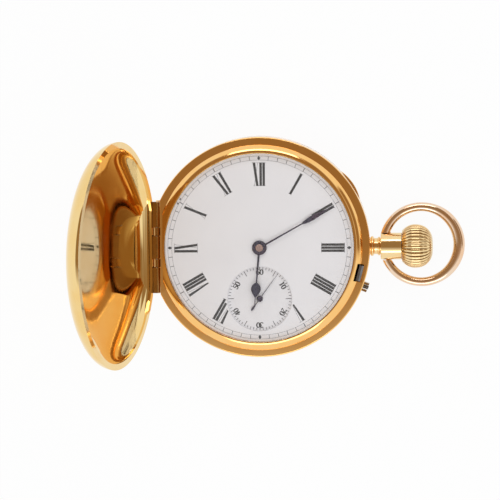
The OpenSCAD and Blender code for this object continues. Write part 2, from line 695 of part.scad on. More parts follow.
// Cock that carries the balance and the regulator
cock_head_r = 2.6;
module balance_cock() color("khaki") difference() {
    union() {
        translate([0, 0, bridge_z0]) linear_extrude(bridge_t) union() {
            translate([balance_x, balance_y]) circle(cock_head_r);
            intersection() {
                circle(bridge_r);
                cock_arm_2d();
            }
        }
        intersection() {
            translate([0, 0, bridge_z1 - 0.1]) linear_extrude(train_gap + 0.1)
                difference() {
                    cock_arm_2d();
                    translate([balance_x, balance_y]) circle(balance_r + 1.1);
                }
            cylinder(r = bridge_r, h = 10);
        }
    }
    screw_bores([cock_foot]);
    translate([balance_x, balance_y, 0]) {
        cylinder(r = 0.35, h = 10);
        cylinder(r = jewel_r, h = bridge_z0 + 0.4);
    }
    translate([balance_x, balance_y, bridge_z0 - 1]) rotate([0, 0, lever_dir + 90])
        translate([hair_r, 0, 0]) cylinder(r = 0.25, h = 3);
}

module cock_arm_2d() {
    dir = atan2(cock_foot[1] - balance_y, cock_foot[0] - balance_x);
    reach = norm([cock_foot[0] - balance_x, cock_foot[1] - balance_y]);
    mid = 0.6 * reach;
    end = reach + 2.3;
    translate([balance_x, balance_y]) rotate([0, 0, dir])
        polygon([[0, -1.9], [mid, -2.4], [end, -3.6], [end, 3.2], [mid, 2.4], [0, 1.9]]);
}

// Regulator index that lies on the balance cock
module regulator() color("silver") translate([balance_x, balance_y, bridge_z0 - 0.2])
    linear_extrude(0.2) difference() {
        union() {
            circle(1.6);
            rotate([0, 0, lever_dir + 175]) polygon([[0, -0.45], [5.2, -0.12], [5.2, 0.12], [0, 0.45]]);
            rotate([0, 0, lever_dir + 60]) translate([0, -0.35]) square([hair_r + 0.2, 0.7]);
        }
        circle(1.0);
    }

module pallet_cock() color("khaki") difference() {
    translate([0, 0, pallet_cz]) linear_extrude(pallet_ct) difference() {
        translate([pallet_x, pallet_y]) rotate([0, 0, lever_dir + 90]) union() {
            translate([-pallet_foot, -0.6]) square([2 * pallet_foot, 1.0]);
            for (s = [-1, 1]) translate([s * pallet_foot, 0]) circle(0.7);
        }
        translate([balance_x, balance_y]) circle(balance_r + 0.75);
    }
    translate([pallet_x, pallet_y, 0]) cylinder(r = 0.12, h = 10);
}

module screw(x, y, z, len) translate([x, y, z]) difference() {
    union() {
        cylinder(r = head_r, h = head_t);
        cylinder(r = screw_r, h = len);
    }
    translate([-2, -0.1, -0.01]) cube([4, 0.2, 0.16]);
}

module bridge_screws() color("steelblue") for (f = concat(barrel_feet, train_feet, [cock_foot]))
    screw(f[0], f[1], bridge_z0, plate_z0 + 1.0 - bridge_z0);

module case_screws() color("steelblue") for (f = case_screw_at)
    screw(f[0], f[1], plate_z0 - head_t, head_t + 1.0);

// Click and its spring beside the ratchet wheel
click_dir = 115;
click_dist = ratchet_n * wind_m / 2 + 2.6;
click_x = barrel_x + click_dist * cos(click_dir);
click_y = barrel_y + click_dist * sin(click_dir);
ratchet_tip = ratchet_n * wind_m / 2 + 0.9 * wind_m;
module click() color("slategray") {
    translate([click_x, click_y, bridge_z0 - 0.4]) rotate([0, 0, click_dir - 90]) {
        linear_extrude(0.4) union() {
            circle(0.9);
            polygon([[0, 0.85], [2.6, -0.6], [2.55, click_nose_y], [1.6, -1.5], [0, -0.85]]);
        }
        cylinder(r = 0.33, h = 1.0);
    }
}

click_nose_y = -(click_dist - sqrt(pow(ratchet_tip + 0.05, 2) - 2.55 * 2.55));

module click_spring() color("slategray") translate([0, 0, bridge_z0 - 0.25])
    translate([click_x, click_y]) rotate([0, 0, click_dir - 90]) linear_extrude(0.25)
        union() {
            translate([-5.2, 1.0]) circle(0.6);
            translate([-5.2, 1.0]) square([6.6, 0.22]);
        }

// Front cover, drawn closed and then turned about its hinge
module lid_shell() difference() {
    intersection() {
        translate([0, 0, ledge_z]) rotate_extrude()
            polygon(concat(dome_pts(case_r, lid_h), [[0, 0]]));
        right_of(cut_x);
    }
    difference() {
        intersection() {
            union() {
                translate([0, 0, ledge_z]) rotate_extrude()
                    polygon(concat(dome_pts(case_r - sheet_t, lid_h - sheet_t), [[0, 0]]));
                translate([0, 0, ledge_z - 1]) cylinder(r = case_r - sheet_t, h = 1);
            }
            right_of(cut_x + chord_wall);
        }
        translate([0, 0, ledge_z - 2]) tube(case_r + 1, lip_r, 2 + rim_h);
    }
}

// Webs from the cover's three knuckles up to its rim
module lid_webs(x0, x1, z0, z1) {
    knuckle_webs(x0, x1, z0, z1, outer_y, hinge_len);
    translate([x0, -short_y + knuckle_gap / 2, z0])
        cube([x1 - x0, 2 * short_y - knuckle_gap, z1 - z0]);
}

module lid_closed() difference() {
    union() {
        lid_shell();
        translate([hinge_x, 0, hinge_z]) {
            knuckles(outer_y, hinge_len);
            y_cyl(tube_r, -short_y + knuckle_gap / 2, short_y - knuckle_gap / 2);
            lid_webs(0, tube_r, 0, hinge_drop + rim_h);
            lid_webs(0, tube_r + 0.3, hinge_drop, hinge_drop + rim_h);
        }
    }
    translate([hinge_x, 0, hinge_z]) pin_bore();
}

module front_lid() color("gold") translate([hinge_x, 0, hinge_z]) rotate([0, -lid_open, 0])
    translate([-hinge_x, 0, -hinge_z]) lid_closed();

// Back cover with its flat, its hinge knuckles and the thumb lip
function back_pts(r, h, n = 16) =
    [for (i = [0:n]) let (t = 90 * i / n)
        [back_flat_r + (r - back_flat_r) * pow(sin(t), 0.8), h * (1 - pow(cos(t), 0.8))]];
lip_a = 33.7;
lip_span = 8.75;
lip_out = 0.75;
lip_half = case_r * sin(lip_span);
lip_rise = lip_out + case_r * (1 - cos(lip_span));
lip_big = (lip_half * lip_half + lip_rise * lip_rise) / (2 * lip_rise);

module back_body() difference() {
    union() {
        intersection() {
            rotate_extrude() polygon(concat([[0, 0]], back_pts(case_r, back_h), [[0, back_h]]));
            right_of(cut_x);
        }
        rotate([0, 0, lip_a]) translate([case_r + lip_out - lip_big, 0, back_h - 0.55])
            cylinder(r = lip_big, h = 0.55);
    }
    difference() {
        intersection() {
            translate([0, 0, sheet_t]) rotate_extrude() polygon(concat([[0, 0]],
                back_pts(case_r - sheet_t, back_h - sheet_t),
                [[case_r - sheet_t, back_h + 1], [0, back_h + 1]]));
            right_of(cut_x + chord_wall);
        }
        translate([0, 0, back_h - 0.4]) tube(case_r + 1, low_rim_r, 3);
    }
    translate([cut_x - 1, -short_y, back_h - 0.75]) cube([2, 2 * short_y, 2]);
}

module back_cover() color("gold") difference() {
    union() {
        back_body();
        translate([hinge_x, 0, rim_z]) {
            knuckles(outer_y, hinge_len);
            knuckle_webs(0, tube_r + 0.3, -rim_h, 0, outer_y, hinge_len);
        }
    }
    translate([hinge_x, 0, rim_z]) pin_bore();
}

// Inner dust cover on the same hinge pin
module cuvette() color("goldenrod") difference() {
    union() {
        intersection() {
            rotate_extrude() polygon([[0, rim_z - 0.95], [cuvette_r - 3.9, rim_z - 0.85],
                [cuvette_r - 0.5, rim_z - 0.45], [cuvette_r, rim_z - 0.35], [cuvette_r, rim_z],
                [cuvette_r - 1.0, rim_z], [cuvette_r - 1.4, rim_z - 0.85 + cuvette_t],
                [cuvette_r - 3.9, rim_z - 0.85 + cuvette_t], [0, rim_z - 0.95 + cuvette_t]]);
            right_of(cut_x + chord_wall + 0.15);
        }
        translate([hinge_x, 0, rim_z]) {
            y_cyl(tube_r, -short_y + knuckle_gap / 2, short_y - knuckle_gap / 2);
            translate([0, -short_y + 0.15, -0.62])
                cube([cut_x + chord_wall + 1.2 - hinge_x, 2 * short_y - 0.3, 0.62]);
        }
    }
    translate([hinge_x, 0, rim_z]) pin_bore();
}

// Outline of a hand's pear, half width at a share u of its length
function pear(u) = pow(sin(180 * pow(u, 0.8)), 1.15);

module hand_2d(len, stem0, stem1, pear0, pear1, pear_w, tip) {
    n = 12;
    side = concat([[0, stem0], [pear0, stem1]],
        [for (i = [1:n - 1]) let (u = i / n)
            [pear0 + (pear1 - pear0) * u, stem1 + (tip - stem1) * u + pear_w * pear(u)]],
        [[pear1, tip], [len, 0.05]]);
    polygon(concat(side, [for (i = [len(side) - 1:-1:0]) [side[i][0], -side[i][1]]]));
}

module hour_hand() color("midnightblue") translate([0, 0, hour_hz]) clock(hour_angle) difference() {
    union() {
        linear_extrude(hand_t) hand_2d(hour_len, 0.24, 0.15, hour_len - 5.6, hour_len - 2.3, 0.82, 0.12);
        cylinder(r = hub_r, h = hand_t);
    }
    translate([0, 0, -1]) cylinder(r = 0.95, h = 3);
}

module minute_hand() color("midnightblue") translate([0, 0, minute_hz]) clock(minute_angle) {
    difference() {
        union() {
            linear_extrude(hand_t)
                hand_2d(minute_len, 0.22, 0.14, minute_len - 8.3, minute_len - 1.9, 0.42, 0.1);
            cylinder(r = hub_r * 0.95, h = hand_t);
        }
        translate([0, 0, -1]) cylinder(r = 0.55, h = 3);
    }
}

module seconds_hand() color("midnightblue") translate([0, -seconds_y, second_hz]) clock(second_angle)
    difference() {
        union() {
            linear_extrude(second_t) polygon([[-second_tail, 0.07], [second_len - 0.4, 0.06],
                [second_len, 0.02], [second_len, -0.02], [second_len - 0.4, -0.06],
                [-second_tail, -0.07]]);
            translate([-second_tail, 0, 0]) cylinder(r = 0.3, h = second_t);
            cylinder(r = 0.72, h = second_t + 0.1);
        }
        translate([0, 0, -1]) cylinder(r = 0.2, h = 1.15);
    }

// Motion work
hour_pipe_top = hour_hz + hand_t + 0.05;
module cannon_pinion() color("silver") difference() {
    union() {
        translate([0, 0, motion_z]) gear(cannon_n, motion_m, 0.4, 0);
        translate([0, 0, motion_z]) cylinder(r = 0.55, h = minute_hz + hand_t - motion_z);
    }
    cylinder(r = 0.45, h = minute_hz + hand_t - 0.1);
}

module minute_wheel() color("gold") translate([motion_x, motion_y, motion_z]) {
    difference() {
        union() {
            gear(minute_wn, motion_m, 0.3, mesh(motion_dir, cannon_n, 0, minute_wn));
            translate([0, 0, 0.3]) gear(minute_pn, hour_m, 0.5, 0);
        }
        translate([0, 0, -1]) cylinder(r = 0.2, h = 3);
    }
}

module hour_wheel() color("gold") difference() {
    union() {
        translate([0, 0, motion_z + 0.45])
            gear(hour_n, hour_m, 0.3, mesh(motion_dir + 180, minute_pn, 0, hour_n));
        translate([0, 0, motion_z + 0.45]) cylinder(r = 0.95, h = hour_pipe_top - motion_z - 0.45);
    }
    cylinder(r = 0.62, h = 20);
}

// Centre wheel on its arbor with the centre pinion
centre_phase = 0;
module centre_wheel() color("gold") translate([0, 0, centre_wz]) difference() {
    crossed_wheel(centre_n, centre_m, wheel_t, centre_phase, 5, 1.6, 0.5);
    translate([0, 0, -1]) cylinder(r = 0.6, h = 3);
}

module centre_arbor() color("silver") {
    translate([0, 0, bridge_z0 + 0.02]) cylinder(r = 0.15, h = 1);
    translate([0, 0, centre_wz]) cylinder(r = 0.6, h = 0.4);
    translate([0, 0, centre_wz + 0.35])
        gear(centre_pn, barrel_m, plate_z0 - 0.1 - centre_wz - 0.35, centre_pphase);
    translate([0, 0, plate_z0 - 0.2]) cylinder(r = 0.45, h = minute_hz + hand_t - 0.1 - plate_z0 + 0.2);
}

barrel_phase = 0;
centre_pphase = mesh(barrel_dir + 180, barrel_n, barrel_phase, centre_pn);

// Mainspring barrel: toothed drum with its cover, the coiled spring and the arbor
drum_r = barrel_n * barrel_m / 2 - 1.15 * barrel_m;
module barrel() color("gold") translate([barrel_x, barrel_y, barrel_z0]) difference() {
    union() {
        gear(barrel_n, barrel_m, 0.5, barrel_phase);
        cylinder(r = drum_r, h = barrel_h);
    }
    translate([0, 0, 0.25]) cylinder(r = drum_r - 0.35, h = barrel_h - 0.5);
    translate([0, 0, -1]) cylinder(r = 0.6 + run_gap, h = 5);
}

// Flat spiral with a given number of turns
module spiral(r0, r1, turns, w, h, steps = 16) {
    n = turns * steps;
    linear_extrude(h) polygon(concat(
        [for (i = [0:n]) let (r = r0 + (r1 - r0) * i / n, a = 360 * i / steps) [r * cos(a), r * sin(a)]],
        [for (i = [n:-1:0]) let (r = r0 + (r1 - r0) * i / n - w, a = 360 * i / steps)
            [r * cos(a), r * sin(a)]]));
}

module mainspring() color("slategray") translate([barrel_x, barrel_y, barrel_z0 + 0.3])
    spiral(2.0, drum_r - 0.4, 8, 0.18, barrel_h - 0.6);

module barrel_arbor() color("silver") translate([barrel_x, barrel_y, 0]) {
    translate([0, 0, bridge_z0 - wind_t]) cylinder(r = 1.2, h = wind_t + bridge_t + 0.3);
    translate([0, 0, bridge_z1]) cylinder(r = 0.6, h = dial_z0 - 0.6 - bridge_z1);
    translate([0, 0, barrel_z0 + 0.3]) cylinder(r = 1.7, h = barrel_h - 0.6);
}

module ratchet_wheel() color("lightsteelblue") translate([barrel_x, barrel_y, bridge_z0 - wind_t])
    difference() {
        gear(ratchet_n, wind_m, wind_t, ratchet_phase);
        translate([0, 0, -1]) cylinder(r = 1.2, h = 3);
    }

crown_phase = 360 / crown_n / 2;
ratchet_phase = mesh(crown_dir + 180, crown_n, crown_phase, ratchet_n);

module ratchet_screw() color("steelblue") translate([barrel_x, barrel_y, bridge_z0 - wind_t - 0.25])
    difference() {
        cylinder(r = 1.7, h = 0.25);
        translate([-3, -0.12, -0.1]) cube([6, 0.24, 0.25]);
    }

module crown_wheel() color("lightsteelblue") translate([crown_x, 0, bridge_z0 - wind_t])
    difference() {
        gear(crown_n, wind_m, wind_t, crown_phase);
        translate([0, 0, -1]) cylinder(r = 0.6 + run_gap, h = 3);
        translate([0, 0, -1]) cylinder(r = 1.5 + run_gap, h = 1.2);
    }

module crown_wheel_screw() color("steelblue") translate([crown_x, 0, bridge_z0 - wind_t])
    difference() {
        union() {
            cylinder(r = 1.5, h = 0.17);
            cylinder(r = 0.6, h = wind_t + bridge_t);
        }
        translate([-3, -0.12, -0.1]) cube([6, 0.24, 0.22]);
    }

// Third, fourth and escape wheels with their pinions
third_phase = mesh(atan2(third_y, third_x), centre_n, centre_phase, third_pn);
third_wphase = 0;
third_dir = atan2(-seconds_y - third_y, -third_x);
module third_wheel() color("gold") translate([third_x, third_y, third_wz]) difference() {
    crossed_wheel(third_n, third_m, wheel_t, third_wphase, 5, 1.2, 0.4);
    translate([0, 0, -1]) cylinder(r = 0.4, h = 3);
}

module arbor(z0, z1, r) {
    translate([0, 0, bridge_z0 + 0.02]) cylinder(r = 0.12, h = plate_z0 + 0.5 - bridge_z0);
    translate([0, 0, z0]) cylinder(r = r, h = z1 - z0);
}

module third_pinion() color("silver") translate([third_x, third_y, 0]) {
    arbor(bridge_z1 + 0.1, plate_z0 - 0.1, 0.4);
    translate([0, 0, bridge_z1 + 0.05]) gear(third_pn, centre_m, 0.5, third_phase);
}

fourth_phase = mesh(third_dir, third_n, third_wphase, fourth_pn);
module fourth_wheel() color("gold") translate([0, -seconds_y, fourth_wz]) difference() {
    crossed_wheel(fourth_n, fourth_m, wheel_t, 0, 5, 0.9, 0.35);
    translate([0, 0, -1]) cylinder(r = 0.3, h = 3);
}

module fourth_pinion() color("silver") translate([0, -seconds_y, 0]) {
    translate([0, 0, bridge_z0 + 0.02]) cylinder(r = 0.12, h = 1.5);
    translate([0, 0, bridge_z1 + 0.1]) cylinder(r = 0.3, h = plate_z0 + 1.0 - bridge_z1);
    translate([0, 0, plate_z0 + 1.0]) cylinder(r = 0.2, h = second_hz + 0.15 - plate_z0 - 1.0);
    translate([0, 0, third_wz - 0.15]) gear(fourth_pn, third_m, 0.5, fourth_phase);
}

escape_phase = mesh(escape_dir, fourth_n, 0, escape_pn);
module escape_pinion() color("silver") translate([escape_x, escape_y, 0]) {
    arbor(bridge_z1 + 0.1, escape_wz + 0.3, 0.25);
    translate([0, 0, bridge_z1 + 0.08]) gear(escape_pn, fourth_m, 0.5, escape_phase);
}

// Escape wheel with fifteen club teeth
escape_n = 15;
escape_rest = lever_dir + 12;
escape_tooth = [[-9, 0.74], [-2.5, 1], [1.2, 0.985], [1.5, 0.9], [-1, 0.74]];
module escape_wheel() color("gold") translate([escape_x, escape_y, escape_wz])
    rotate([0, 0, escape_rest]) linear_extrude(wheel_t) difference() {
        polygon([for (i = [0:escape_n - 1]) for (q = escape_tooth)
            let (a = i * 360 / escape_n + q[0]) [escape_r * q[1] * cos(a), escape_r * q[1] * sin(a)]]);
        difference() {
            circle(escape_r * 0.62);
            circle(0.6);
            for (k = [0:3]) rotate([0, 0, k * 90]) translate([0, -0.14]) square([2, 0.28]);
        }
        circle(0.25);
    }

// Lever with its fork, and the two pallet stones just clear of the wheel's tips
stone_a = 30;
stone_r = escape_r + 0.05;
module stones_2d() for (s = [-1, 1]) translate([-pallet_dist, 0]) rotate(s * stone_a)
    translate([stone_r, -0.15]) square([0.45, 0.3]);

module pallet_fork() color("lightsteelblue") translate([pallet_x, pallet_y, fork_z])
    rotate([0, 0, lever_dir]) difference() {
        union() {
            linear_extrude(fork_t) difference() {
                union() {
                    circle(0.3);
                    translate([0, -0.17]) square([lever_len - 0.5, 0.34]);
                    polygon([[lever_len - 1.0, -0.17], [lever_len - 0.45, -0.5],
                        [lever_len + 0.15, -0.5], [lever_len + 0.15, 0.5],
                        [lever_len - 0.45, 0.5], [lever_len - 1.0, 0.17]]);
                    for (s = [-1, 1]) polygon([[0.3, 0], [-0.28, 0], [-0.28, s * 0.35],
                        [-0.42, s * 0.95], [-0.35, s * 1.6], [0.05, s * 1.5], [0.2, s * 0.6]]);
                }
                stones_2d();
                translate([lever_len - 0.25, -0.14]) square([1, 0.28]);
            }
            translate([0, 0, -0.15]) cylinder(r = 0.25, h = fork_t + 0.3);
        }
        translate([0, 0, -1]) cylinder(r = 0.1, h = 3);
    }

module pallet_stones() color("crimson") translate([pallet_x, pallet_y, 0]) {
    translate([0, 0, fork_z]) rotate([0, 0, lever_dir]) linear_extrude(fork_t) stones_2d();
    translate([0, 0, pallet_cz + 0.05]) cylinder(r = 0.1, h = plate_z0 + 0.5 - pallet_cz);
}

// Balance: rim with screws, staff, roller with its jewel pin, and the hairspring
module balance_wheel() color("gold") translate([balance_x, balance_y, balance_z])
    rotate([0, 0, lever_dir]) difference() {
        union() {
            tube(balance_r, balance_r - 0.7, balance_t);
            translate([-balance_r + 0.35, -0.45, 0.12]) cube([2 * balance_r - 0.7, 0.9, 0.3]);
            cylinder(r = 0.9, h = 0.4);
            for (i = [0:6]) for (s = [0, 180]) rotate([0, 0, s + 12 + 26 * i])
                translate([0, 0, balance_t / 2]) x_cyl(0.22, balance_r - 0.2, balance_r + 0.5);
        }
        translate([0, 0, -1]) cylinder(r = 0.3, h = 3);
    }

module balance_staff() color("silver") translate([balance_x, balance_y, 0]) {
    translate([0, 0, bridge_z0 + 0.1]) cylinder(r = 0.1, h = plate_z0 + 0.5 - bridge_z0);
    translate([0, 0, bridge_z1 + 0.05]) cylinder(r = 0.3, h = plate_z0 - 0.1 - bridge_z1 - 0.05);
}

module roller() color("lightsteelblue") translate([balance_x, balance_y, 0])
    rotate([0, 0, lever_dir + 180]) {
        translate([0, 0, balance_z + balance_t + 0.05]) tube(1.35, 0.3, 0.15);
        translate([pin_circle, 0, balance_z + balance_t + 0.15])
            cylinder(r = 0.1, h = fork_z + fork_t - balance_z - balance_t - 0.18);
    }

hair_r = 3.3;
module hairspring() color("midnightblue") translate([balance_x, balance_y, hair_z])
    rotate([0, 0, lever_dir + 90]) union() {
        spiral(0.75, hair_r + 0.03, hair_turns, 0.06, 0.2, 20);
        tube(0.72, 0.3, 0.22);
    }

case_middle();
pendant();
bezel();
crystal();
dial();
seconds_dial();
lid_hinge_pin();
back_hinge_pin();
lift_spring();
pin_guards();
mainplate();
barrel_bridge();
train_bridge();
balance_cock();
pallet_cock();
regulator();
bridge_screws();
case_screws();
jewels();
click_spring();
click();
front_lid();
back_cover();
cuvette();
bow();
bow_pins();
crown_sleeve();
crown();
winding_stem();
winding_pinion();
lock_spring();
set_pin();
centre_wheel();
centre_arbor();
cannon_pinion();
minute_hand();
hour_wheel();
hour_hand();
minute_wheel();
barrel();
mainspring();
barrel_arbor();
ratchet_wheel();
ratchet_screw();
crown_wheel();
crown_wheel_screw();
third_wheel();
third_pinion();
fourth_wheel();
fourth_pinion();
seconds_hand();
escape_wheel();
escape_pinion();
pallet_fork();
pallet_stones();
balance_wheel();
balance_staff();
roller();
hairspring();
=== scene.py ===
"""Dress of a full hunter pocket watch, laid over its packed frame.

The frame gives every size and place. Gold work, dial, printing and hands are made here as
finer pieces, and the wheels, bridges and springs of the frame get their finishes.
"""
import json
import math

import bmesh
import bpy
from bpy.props import FloatProperty, FloatVectorProperty, IntProperty, PointerProperty
from bpy.types import Operator, Panel, PropertyGroup
from mathutils import Matrix, Vector


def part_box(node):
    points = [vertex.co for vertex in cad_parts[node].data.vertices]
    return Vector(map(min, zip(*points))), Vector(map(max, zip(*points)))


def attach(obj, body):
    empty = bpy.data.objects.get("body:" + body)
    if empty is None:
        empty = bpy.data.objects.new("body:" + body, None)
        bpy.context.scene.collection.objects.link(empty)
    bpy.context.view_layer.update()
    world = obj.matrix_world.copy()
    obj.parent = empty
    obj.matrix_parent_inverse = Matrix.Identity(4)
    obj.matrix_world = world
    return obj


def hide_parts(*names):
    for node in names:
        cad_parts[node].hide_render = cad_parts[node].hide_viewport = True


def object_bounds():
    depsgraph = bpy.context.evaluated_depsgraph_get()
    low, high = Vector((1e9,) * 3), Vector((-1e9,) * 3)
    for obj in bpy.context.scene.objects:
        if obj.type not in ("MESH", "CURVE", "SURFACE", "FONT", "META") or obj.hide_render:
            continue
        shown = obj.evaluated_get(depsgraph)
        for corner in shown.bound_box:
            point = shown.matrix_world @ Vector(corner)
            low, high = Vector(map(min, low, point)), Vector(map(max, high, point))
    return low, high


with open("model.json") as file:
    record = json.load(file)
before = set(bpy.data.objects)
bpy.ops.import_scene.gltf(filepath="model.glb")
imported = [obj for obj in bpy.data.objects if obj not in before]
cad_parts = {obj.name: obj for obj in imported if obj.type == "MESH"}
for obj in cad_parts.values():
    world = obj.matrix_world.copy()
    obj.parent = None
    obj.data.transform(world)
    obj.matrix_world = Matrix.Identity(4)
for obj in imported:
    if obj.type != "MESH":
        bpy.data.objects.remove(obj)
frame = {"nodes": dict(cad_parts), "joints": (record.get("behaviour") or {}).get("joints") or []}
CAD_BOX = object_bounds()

bl_info = {
    "name": "Hunter Pocket Watch",
    "version": (1, 0, 0),
    "blender": (4, 5, 0),
    "location": "View3D > Sidebar > Watch",
    "description": "Gold case, enamel dial, hands and finishes for a hunter pocket watch",
    "category": "Add Mesh",
}

# Places read from the frame, in metres

MM = 0.001
JOINTS = {joint["name"]: joint for joint in frame["joints"]}


def low(node):
    """Lowest corner of a frame node."""
    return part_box(node)[0]


def high(node):
    """Highest corner of a frame node."""
    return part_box(node)[1]


HINGE_X = JOINTS["lid_hinge"]["pos_m"][0]
HINGE_Z = JOINTS["lid_hinge"]["pos_m"][2]
RIM_Z = JOINTS["back_hinge"]["pos_m"][2]
STEM_Z = JOINTS["bow_swing"]["pos_m"][2]
BOW_PIVOT_X = JOINTS["bow_swing"]["pos_m"][0]
SECONDS_Y = JOINTS["seconds_turn"]["pos_m"][1]
LID_OPEN = math.radians(max(abs(v) for v in JOINTS["lid_hinge"]["range_deg"]))
CASE_R = high("back_cover").y
DIAL_R = high("dial").y
DIAL_Z0 = low("dial").z
DIAL_Z1 = high("dial").z
SMALL_DIAL_Z = high("seconds_dial").z
BEZEL_R = high("bezel").y
BEZEL_CUT_X = low("bezel").x
BEZEL_Z = high("bezel").z
LEDGE_Z = low("bezel").z
GLASS_Z0 = low("crystal").z
GLASS_Z1 = high("crystal").z
CROWN_X0 = low("crown").x
CROWN_X1 = high("crown").x
CROWN_R = high("crown").y
PENDANT_X0 = low("pendant").x
PENDANT_X1 = high("pendant").x
PENDANT_R = high("pendant").y
PIN_SINK = 0.1 * MM
HINGE_Y = high("lid_hinge_pin").y + PIN_SINK


# Settings that a user would change


def length(label, about, value):
    """A size in metres, given in millimetres."""
    return FloatProperty(name=label, description=about, default=value * MM, unit="LENGTH",
                         precision=5)


def angle(label, about, degrees):
    """An angle, given in degrees."""
    return FloatProperty(name=label, description=about, default=math.radians(degrees),
                         subtype="ANGLE")


def level(label, about, value):
    """A plain number."""
    return FloatProperty(name=label, description=about, default=value, min=0.0)


def colour(label, about, value):
    """A colour, in linear light."""
    return FloatVectorProperty(name=label, description=about, default=value, subtype="COLOR",
                               size=3, min=0.0, max=1.0)


class WatchCaseSettings(PropertyGroup):
    """Sheet, hinges and joints of the gold case."""

    sheet: length("Cover sheet", "Thickness of the two outer covers", 0.5)
    lid_height: length("Front cover height", "Height of the front cover's dome", 6.1)
    shoulder: level("Cover squareness", "Squareness of the front cover's outline", 4.0)
    hollow: length("Front cover hollow", "Depth of the front cover's hollow", 4.5)
    square: level("Hollow squareness", "Squareness of the hollow's outline", 4.7)
    chord_height: length("Chord height", "Height of the hollow's wall along the hinge", 0.95)
    chord_fillet: length("Chord fillet", "Fillet between that wall and the roof", 2.4)
    rim_width: length("Snap rim width", "Width of the front cover's snap rim", 1.4)
    rim_height: length("Snap rim height", "Height of the front cover's snap rim", 0.5)
    back_flat: length("Back flat", "Radius of the flat on the back cover", 10.0)
    band_wall: length("Band wall", "Wall of the case band", 1.0)
    tube: length("Hinge knuckle radius", "Outside radius of the hinge knuckles", 0.65)
    knuckle_middle: length("Middle knuckle", "Length of the middle knuckle", 5.2)
    knuckle_short: length("Short knuckle", "Length of each knuckle on the case", 2.0)
    knuckle_gap: length("Knuckle gap", "Gap between two knuckles", 0.12)
    chord_wall: length("Chord wall", "Wall of the covers along the hinge", 0.45)
    bezel_low: angle("Bezel start", "Rise of the bezel's face at its foot", 30)
    bezel_high: angle("Bezel end", "Rise of the bezel's face at the glass", 75)
    catch_angle: angle("Catch angle", "Place of the catch round the case", -14.4)
    catch_length: length("Catch length", "Length of the catch's slot", 4.1)
    pin_angle: angle("Set pin angle", "Place of the set pin round the case", -21.2)
    lip_angle: angle("Thumb lip angle", "Place of the back cover's thumb lip", 33.7)
    lip_span: angle("Thumb lip half span", "Half of the thumb lip's span", 8.75)
    lip_out: length("Thumb lip reach", "How far the thumb lip stands out", 0.42)
    sides: IntProperty(name="Sides", description="Facets round the case", default=256, min=48)


class WatchBowSettings(PropertyGroup):
    """Bow and crown."""

    radius: length("Bow radius", "Radius of the bow, to the middle of its wire", 8.57)
    wire: length("Wire at the pendant", "Radius of the bow's wire at its ends", 1.0)
    wire_end: length("Wire at the far end", "Radius of the bow's wire at its far end", 1.32)
    lean: angle("Bow lean", "Lean of the slack bow towards twelve", 3.0)
    end_gap: length("Bow gap", "Gap between the bow's ends and the pendant", 0.1)
    flutes: IntProperty(name="Crown flutes", description="Flutes round the crown", default=33)
    flute_depth: length("Flute depth", "Depth of the crown's flutes", 0.24)
    neck: length("Neck radius", "Radius of the pendant's neck in its groove", 1.85)


class WatchDialSettings(PropertyGroup):
    """Printing on the dial."""

    small_radius: length("Seconds dial radius", "Radius of the sunk seconds dial", 7.4)
    numeral_in: length("Numerals from", "Radius of the numerals' inner ends", 14.05)
    numeral_out: length("Numerals to", "Radius of the numerals' outer ends", 19.35)
    bar: length("Thick stroke", "Width of a numeral's thick stroke", 0.58)
    hair: length("Thin stroke", "Width of a numeral's thin stroke", 0.06)
    pitch: length("Bar spacing", "Distance between two bars of a numeral", 0.69)
    track_out: length("Outer circle", "Radius of the minute track's outer circle", 20.8)
    track_in: length("Inner circle", "Radius of the minute track's inner circle", 19.92)
    line: length("Track line", "Width of the minute track's circles", 0.055)
    tick: length("Track tick", "Width of a minute's tick", 0.12)
    digit: length("Seconds digits", "Height of the seconds dial's digits", 1.25)
    ink: length("Print height", "Thickness of the fired print", 0.012)


class WatchHandSettings(PropertyGroup):
    """Hands, set at ten past six."""

    hour: FloatProperty(name="Hour hand", description="Clock angle of the hour hand",
                        default=math.radians(185.05), subtype="ANGLE")
    minute: FloatProperty(name="Minute hand", description="Clock angle of the minute hand",
                          default=math.radians(60.6), subtype="ANGLE")
    second: FloatProperty(name="Seconds hand", description="Clock angle of the seconds hand",
                          default=math.radians(36.0), subtype="ANGLE")
    hour_length: length("Hour hand length", "From the middle to the tip", 13.6)
    minute_length: length("Minute hand length", "From the middle to the tip", 19.5)
    second_length: length("Seconds hand length", "From the middle to the tip", 6.6)
    second_tail: length("Seconds hand tail", "From the middle to the end of the tail", 3.4)
    boss: length("Boss radius", "Radius of the hour hand's boss", 1.67)


class WatchFinishSettings(PropertyGroup):
    """Colours of the metals and the enamel."""

    gold: colour("Case gold", "Polished gold of the case and covers", (0.94, 0.575, 0.215))
    gold_sheet: colour("Cover gold", "Paler gold of the front cover", (0.88, 0.66, 0.31))
    gold_pale: colour("Crown gold", "Paler gold of the pendant and crown", (0.90, 0.68, 0.36))
    gold_rose: colour("Bow gold", "Redder gold of the bow", (0.86, 0.67, 0.50))
    gilt: colour("Gilt", "Grained gilt of the plates", (0.86, 0.58, 0.22))
    steel: colour("Steel", "Polished steel", (0.56, 0.56, 0.58))
    blued: colour("Blued steel", "Blued steel of hands and screws", (0.035, 0.032, 0.055))
    enamel: colour("Enamel", "White enamel", (0.84, 0.82, 0.84))
    ink: colour("Ink", "Black of the fired print", (0.012, 0.011, 0.012))
    ruby: colour("Ruby", "Jewels", (0.45, 0.015, 0.06))


